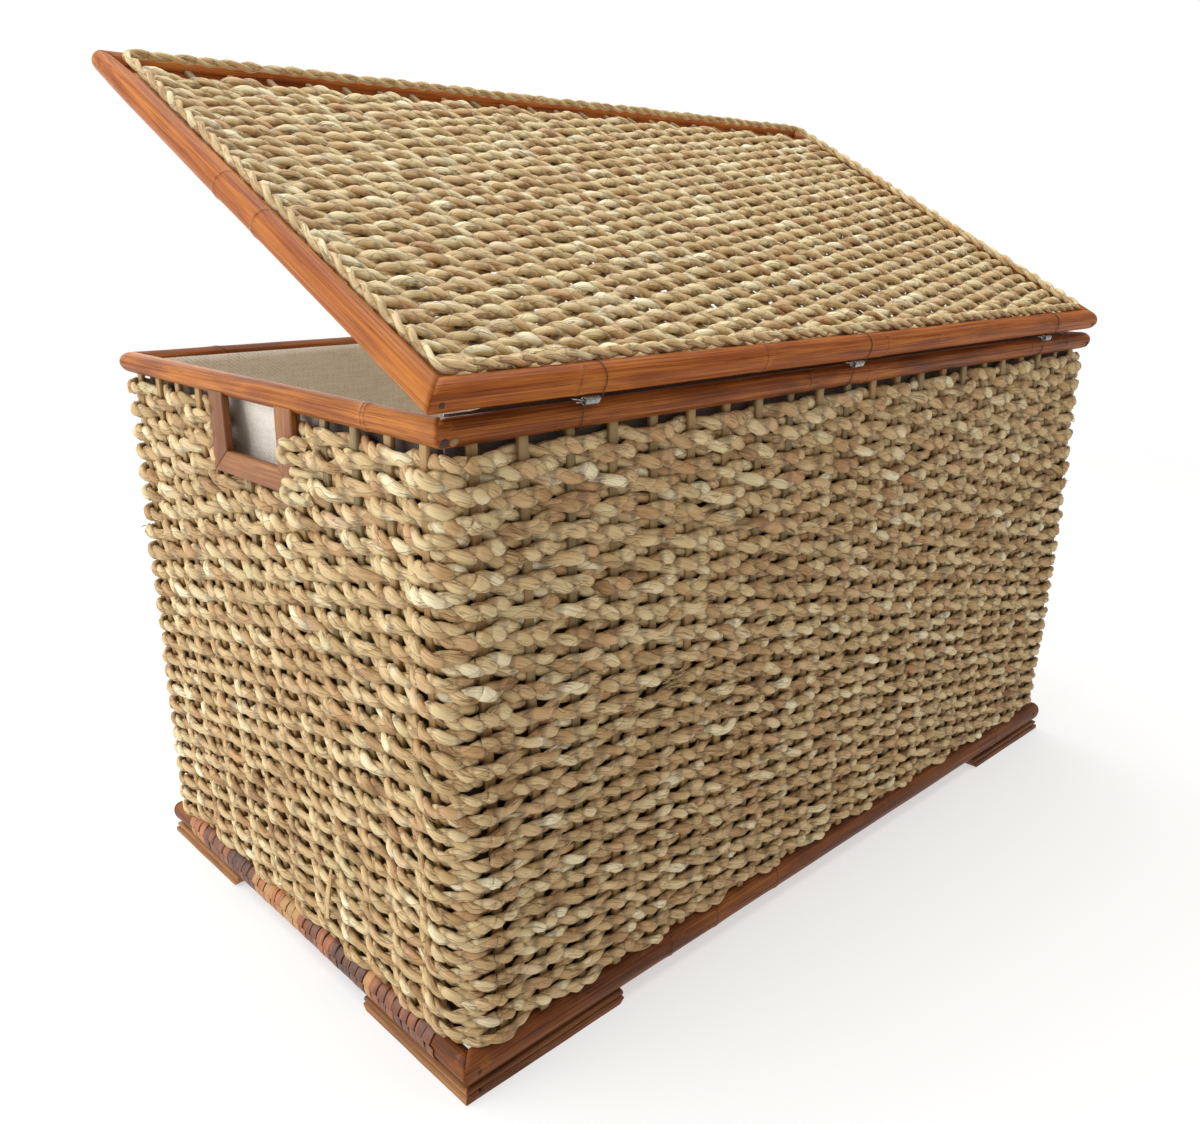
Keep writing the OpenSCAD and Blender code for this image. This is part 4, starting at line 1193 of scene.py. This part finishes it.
# ---------------------------------------------------------------- hinges
def hinge(tag, x0):
    b = Build()
    turns = 10
    th = np.linspace(0, 2 * np.pi * turns, 16 * turns)
    c = np.stack([x0 - 6.6 + 13.2 * th / th[-1], AXIS_Y + 2.35 * np.cos(th), AXIS_Z + 2.35 * np.sin(th)], -1)
    side = np.stack([0 * th, np.cos(th), np.sin(th)], -1)
    b.sweep(c, side, 0.56, 0.56, th * 2.35, (0.5, 0, 0, 1), sides=8)
    a = np.linspace(math.radians(-30), math.radians(-200), 26)
    cy, cz = RIM_Y, RIM_Z
    ring = np.stack([np.full(26, x0 + 7.3), cy + 9.85 * np.cos(a), cz + 9.85 * np.sin(a)], -1)
    lead = np.array([[x0 + 6.6, AXIS_Y + 2.3, AXIS_Z], [x0 + 7.2, AXIS_Y + 2.2, AXIS_Z - 2.5],
                     [x0 + 7.3, AXIS_Y + 1.0, AXIS_Z - 7.5]])
    c = np.concatenate([lead, np.stack([np.full(6, x0 + 7.3), cy + 9.85 * np.cos(np.linspace(0.0, -0.45, 6)),
                                        cz + 9.85 * np.sin(np.linspace(0.0, -0.45, 6))], -1), ring])
    side = (1.0, 0, 0)
    b.sweep(c, side, 0.36, 0.36, np.arange(len(c)) * 2.0, (0.5, 1, 0, 1), sides=8)
    piece(b, "hinge_spiral_" + tag, wire_mat, "box", "zinc_wire", "hinge_coil_" + tag)

    b = Build()
    n = 30
    t = np.linspace(0, 1, n)
    for s in (-1, 1):
        spread = np.clip((t - 0.68) / 0.32, 0, 1)
        ang = s * np.pi / 2 + 5 * t
        c = np.stack([x0 - 8 + 23 * t, 0.55 * np.cos(ang) + s * 1.7 * spread, 0.55 * np.sin(ang) + 1.2 * spread], -1)
        side = np.stack([0 * t, np.cos(ang), np.sin(ang)], -1)
        b.sweep(c, side, 0.5, 0.5, t * 23, (0.5, 0, 0, 1), sides=8)
    a = np.linspace(math.radians(-14), math.radians(178), 30)
    ring = np.stack([np.full(30, x0 - 7.7), LID_PY + 11.1 * np.cos(a), LID_PZ + 11.1 * np.sin(a)], -1)
    lead = np.array([[x0 - 7.7, 0.3, 0.4], [x0 - 7.7, 1.2, 2.6], [x0 - 7.7, 1.6, 5.6]])
    c = np.concatenate([lead, ring])
    side = (1.0, 0, 0)
    b.sweep(c, side, 0.36, 0.36, np.arange(len(c)) * 2.0, (0.5, 1, 0, 1), sides=8)
    piece(b, "hinge_wire_" + tag, wire_mat, "lid", "zinc_wire", "hinge_pin_" + tag)


for tag, x0 in HINGES.items():
    hinge(tag, x0)


# ---------------------------------------------------------------- nails
def heads(name, node, body, spots):
    """Round nail heads: each spot is (centre, outward direction, radius)."""
    b = Build()
    for c, d, r, pale in spots:
        c, d = np.asarray(c, float), unit(np.asarray(d, float))
        x = unit(np.cross(d, (0.13, 0.2, 1.0)))
        prof = [(0.92 * r, -2.0), (r, -0.4), (0.98 * r, 0.1), (0.8 * r, 0.42), (0.45 * r, 0.62),
                (0.12 * r, 0.66)]
        path = np.array([c + d * h for _, h in prof])
        rad = np.array([q for q, _ in prof])
        u = np.broadcast_to(x, path.shape)
        w = np.broadcast_to(np.cross(d, x), path.shape)
        b.tube(path, u, w, rad, rad, rad, (0.5, pale, 0, 1), sides=20)
    piece(b, name, nail_mat, body, "nail_iron", node)


NAIL_DIP = math.radians(30)
dip_y, dip_z = math.cos(NAIL_DIP), -math.sin(NAIL_DIP)
spots = []
for sx in (-1, 1):
    for sy in (-1, 1):
        for back_by, pale in ((-3.6, 0.8), (3.4, 0.0)):
            at = (sx * (RIM_X + back_by), sy * (RIM_Y + RIM_R * dip_y), RIM_Z + RIM_R * dip_z)
            spots.append((at, (0, sy * dip_y, dip_z), 3.1, pale))
        spots.append(((sx * (BASE_X - 4), sy * 258.9, BASE_MID), (0, sy, 0), 2.0, 0.0))
        spots.append(((sx * (BASE_OUT_X - 14), sy * 258.8, 4.5), (0, sy, 0), 1.5, 0.0))
heads("nail_heads", "frame_nails", "box", spots)
lid_out = {1: LID_HALF + LID_R - 0.1, -1: LID_HALF + LID_R - 0.1 - TAPER}
heads("lid_nail_heads", "lid_nails", "lid",
      [((LID_SHIFT + sx * (LID_X + 1), LID_MY + sy * lid_out[sy], LID_PZ), (0, sy, 0), 2.0, 0.0)
       for sx in (-1, 1) for sy in (-1, 1)])


# ---------------------------------------------------------------- lining
def along(points, t):
    """Points at the fractions t of a polyline's length."""
    p = np.asarray(points, float)
    d = np.concatenate([[0], np.cumsum(np.linalg.norm(np.diff(p, axis=0), axis=1))])
    return np.stack([np.interp(t * d[-1], d, p[:, k]) for k in range(3)], -1), d[-1]


def cloth_panel(name, node, low, high, normal, seed, pocket=None):
    """A sheet between two edges given as polylines, slack by a few mm, and its outer side darkened with painted
    shade.
    """
    rng = np.random.default_rng(seed)
    _, wide_low = along(low, np.array([0.0]))
    _, wide_high = along(high, np.array([0.0]))
    tall = float(np.linalg.norm(np.asarray(high[0], float) - np.asarray(low[0], float)))
    flat = ((wide_low + wide_high) / 2 * MM, tall * MM)
    nu, nv = max(int(flat[0] * 1000 / 7), 8), max(int(flat[1] * 1000 / 7), 8)
    u, v = np.linspace(0, 1, nu + 1), np.linspace(0, 1, nv + 1)
    a, _ = along(low, u)
    c, _ = along(high, u)
    g = a[:, None] * (1 - v)[None, :, None] + c[:, None] * v[None, :, None]
    n = np.cross(np.gradient(g, axis=0), np.gradient(g, axis=1))
    n = unit(n)
    if np.dot(n[nu // 2, nv // 2], normal) < 0:
        n = -n
    uu, vv = np.meshgrid(u, v, indexing="ij")
    inside = np.minimum(np.minimum(uu, 1 - uu) * flat[0], np.minimum(vv, 1 - vv) * flat[1])
    edge = np.clip(inside / 0.06, 0, 1)
    edge = edge * edge * (3 - 2 * edge)
    slack = 0
    for _ in range(6):
        p, q = rng.uniform(2, 9), rng.uniform(1, 6)
        slack = slack + np.sin(p * uu * 2 + q * vv * 2 + rng.uniform(0, 7)) * rng.uniform(0.2, 0.6)
    off = edge * (1.2 + 0.8 * slack)
    if pocket is not None:
        pu, pv, ru, rv, depth = pocket
        off = off + depth * np.exp(-((uu - pu) / ru) ** 2 - ((vv - pv) / rv) ** 2) * edge
    g = g + n * off[..., None]
    nn, mm = g.shape[:2]
    verts = np.concatenate([g.reshape(-1, 3), (g - n * 1.1).reshape(-1, 3)])
    ii, jj = np.meshgrid(np.arange(nn - 1), np.arange(mm - 1), indexing="ij")
    k = (ii * mm + jj).ravel()
    q = np.stack([k, k + mm, k + mm + 1, k + 1], -1)
    flip = np.dot(np.cross(g[1, 0] - g[0, 0], g[0, 1] - g[0, 0]), n[0, 0]) < 0
    if flip:
        q = q[:, ::-1]
    q2 = q[:, ::-1] + nn * mm
    rim = np.concatenate([np.arange(nn - 1) * mm, (nn - 1) * mm + np.arange(mm - 1),
                          np.arange(nn - 1, 0, -1) * mm + mm - 1, np.arange(mm - 1, 0, -1)])
    r2 = np.roll(rim, -1)
    edgeq = np.stack([rim, rim + nn * mm, r2 + nn * mm, r2], -1)
    if flip:
        edgeq = edgeq[:, ::-1]
    # painted shade on the outer side, made weaker round the hand-hold, where light comes in through the hole
    tint = np.zeros((len(verts), 4))
    tint[nn * mm:, 1] = 1
    if pocket is not None:
        near = (np.abs(uu - 0.5) * flat[0] * 1000 < GRIP_HALF + 34) & (vv * tall > tall - 80)
        tint[nn * mm:, 1] = 1 - 0.7 * near.ravel()
    b = Build()
    b.add(verts, np.concatenate([q, q2, edgeq]), verts * MM, tint)
    ob = piece(b, name, canvas_mat, "box", "canvas", node)
    return ob


LTOP, LLOW = 492.6, 41.8
BACK_TOP, BACK_MIDDLE, BACK_HALF = 499.0, 502.5, 400.0


def tube_edge(z, ax, sg, inset=0.3):
    """The cloth tube's outline at a height, along one wall: long walls take in the cut corners."""
    g = (493 - z) * LEAN
    x, y, c = RIM_X - RIM_R - 0.4 + g - inset, RIM_Y - RIM_R - 0.4 + g - inset, 1 + 0.73 * g
    if ax == "y":
        return [(-x, sg * (y - c), z), (c - x, sg * y, z), (x - c, sg * y, z), (x, sg * (y - c), z)]
    return [(sg * x, c - y, z), (sg * x, y - c, z)]


def back_edge():
    """The back cloth's top fills the groove behind the hinges, and is lower under the lid's end poles."""
    a, b, c, d = tube_edge(BACK_TOP, "y", 1)
    rise = [(-BACK_HALF - 5, BACK_TOP), (-BACK_HALF, BACK_MIDDLE), (BACK_HALF, BACK_MIDDLE),
            (BACK_HALF + 5, BACK_TOP)]
    return [a, b, *((x, b[1], z) for x, z in rise), c, d]


for side, ax, sg in SIDES:
    cloth_panel("cloth_" + side, "lining_" + side, tube_edge(LLOW, ax, sg),
                back_edge() if side == "back" else tube_edge(LTOP, ax, sg),
                (0, -sg, 0) if ax == "y" else (-sg, 0, 0), 120 + len(side) * 3 + sg,
                (0.5, 0.915, 0.11, 0.075, 7.0) if ax == "x" else None)
edge = tube_edge(LLOW, "y", 1, 2.2)
fx, fy, fc = edge[3][0], edge[1][1], 11.0  # half sizes, and how much the corners are cut
low = [(-fx, fc - fy, LLOW), (fc - fx, -fy, LLOW), (fx - fc, -fy, LLOW), (fx, fc - fy, LLOW)]
cloth_panel("cloth_floor", "lining_floor", low, [(x, -y, z) for x, y, z in low], (0, 0, 1), 131)

for nd in ("floor_panel", "floor_battens"):
    o = bpy.data.objects[nd]
    if not o.data.materials:
        o.data.materials.append(ply_mat)
    for i in range(len(o.material_slots)):
        o.material_slots[i].material = ply_mat

# ---------------------------------------------------------------- floor, light and camera
scene = bpy.context.scene
bpy.ops.mesh.primitive_plane_add(size=60, location=(0, 0, 0))
floor = bpy.context.object
floor.name = "studio_floor"
fm = Mat("studio_floor")
fm.set(Base_Color=(0.9, 0.9, 0.9, 1), Roughness=0.9, Specular_IOR_Level=0.1)
# the floor glows: 55% emission within 1 m of the trunk, rising to full emission 3 m out; this washes out the trunk's
# cast shadow and lights it from below
away = fm.n("ShaderNodeVectorMath", operation="LENGTH")
fm.l(fm.n("ShaderNodeTexCoord").outputs["Object"], away.inputs[0])
fade = fm.n("ShaderNodeMapRange", interpolation_type="SMOOTHSTEP")
fm.l(away.outputs["Value"], fade.inputs[0])
fade.inputs[1].default_value, fade.inputs[2].default_value = 1.0, 3.0
fade.inputs[3].default_value = 0.55
glow, both = fm.n("ShaderNodeEmission"), fm.n("ShaderNodeMixShader")
glow.inputs[0].default_value = (1.0, 1.0, 1.0, 1)
fm.l(fade.outputs[0], both.inputs[0])
fm.l(fm.b.outputs[0], both.inputs[1])
fm.l(glow.outputs[0], both.inputs[2])
fm.l(both.outputs[0], fm.t.nodes["Material Output"].inputs["Surface"])
floor.data.materials.append(fm.m)

world = bpy.data.worlds.new("studio")
scene.world = world
world.use_nodes = True
wt = world.node_tree
sky, seen = wt.nodes["Background"], wt.nodes.new("ShaderNodeBackground")
sky.inputs[0].default_value = (1.0, 0.955, 0.90, 1)
sky.inputs[1].default_value = 0.5
seen.inputs[0].default_value = (1.0, 1.0, 1.0, 1)
path, both = wt.nodes.new("ShaderNodeLightPath"), wt.nodes.new("ShaderNodeMixShader")
wt.links.new(path.outputs["Is Camera Ray"], both.inputs[0])
wt.links.new(sky.outputs[0], both.inputs[1])
wt.links.new(seen.outputs[0], both.inputs[2])
wt.links.new(both.outputs[0], wt.nodes["World Output"].inputs["Surface"])


def area(name, loc, look, size, power, colour=(1, 1, 1)):
    li = bpy.data.lights.new(name, "AREA")
    li.shape = "RECTANGLE"
    li.size, li.size_y = size
    li.energy = power
    li.color = colour
    ob = bpy.data.objects.new(name, li)
    scene.collection.objects.link(ob)
    ob.location = loc
    ob.rotation_euler = (Vector(look) - Vector(loc)).to_track_quat("-Z", "Y").to_euler()
    return ob


area("key", (2.5, -0.9, 1.15), (0.1, 0, 0.3), (3.0, 2.2), 62, (0.96, 0.99, 1.0))
area("top", (0.0, -0.6, 3.2), (0, 0, 0.3), (4.0, 4.0), 125, (0.97, 1.0, 0.99))
area("fill", (-0.4, -2.6, 1.0), (0, 0, 0.3), (2.2, 1.2), 26, (1.0, 0.99, 0.97))

az, el, dist, roll = math.radians(136.593), math.radians(22.133), 1.10385, math.radians(0.348)
target = Vector((0.09286, 0.0, 0.18535))
back = Vector((math.sin(az) * math.cos(el), -math.cos(az) * math.cos(el), math.sin(el)))
right = (-back).cross(Vector((0, 0, 1))).normalized()
upv = right.cross(-back)
r2 = math.cos(roll) * right + math.sin(roll) * upv
u2 = -math.sin(roll) * right + math.cos(roll) * upv
m = Matrix((r2, u2, back)).transposed().to_4x4()
m.translation = target + back * dist
cam = bpy.data.cameras.new("camera")
cam_ob = bpy.data.objects.new("camera", cam)
scene.collection.objects.link(cam_ob)
cam_ob.matrix_world = m
W, H, F, CX, CY = 1200, 1124, 1029.84, 592.98, 650.39
cam.sensor_fit = "HORIZONTAL"
cam.sensor_width = 36
cam.lens = F / W * 36
cam.shift_x = -(CX - W / 2) / W
cam.shift_y = (CY - H / 2) / W
cam.clip_start = 0.01
scene.camera = cam_ob
scene.view_settings.view_transform = "Standard"
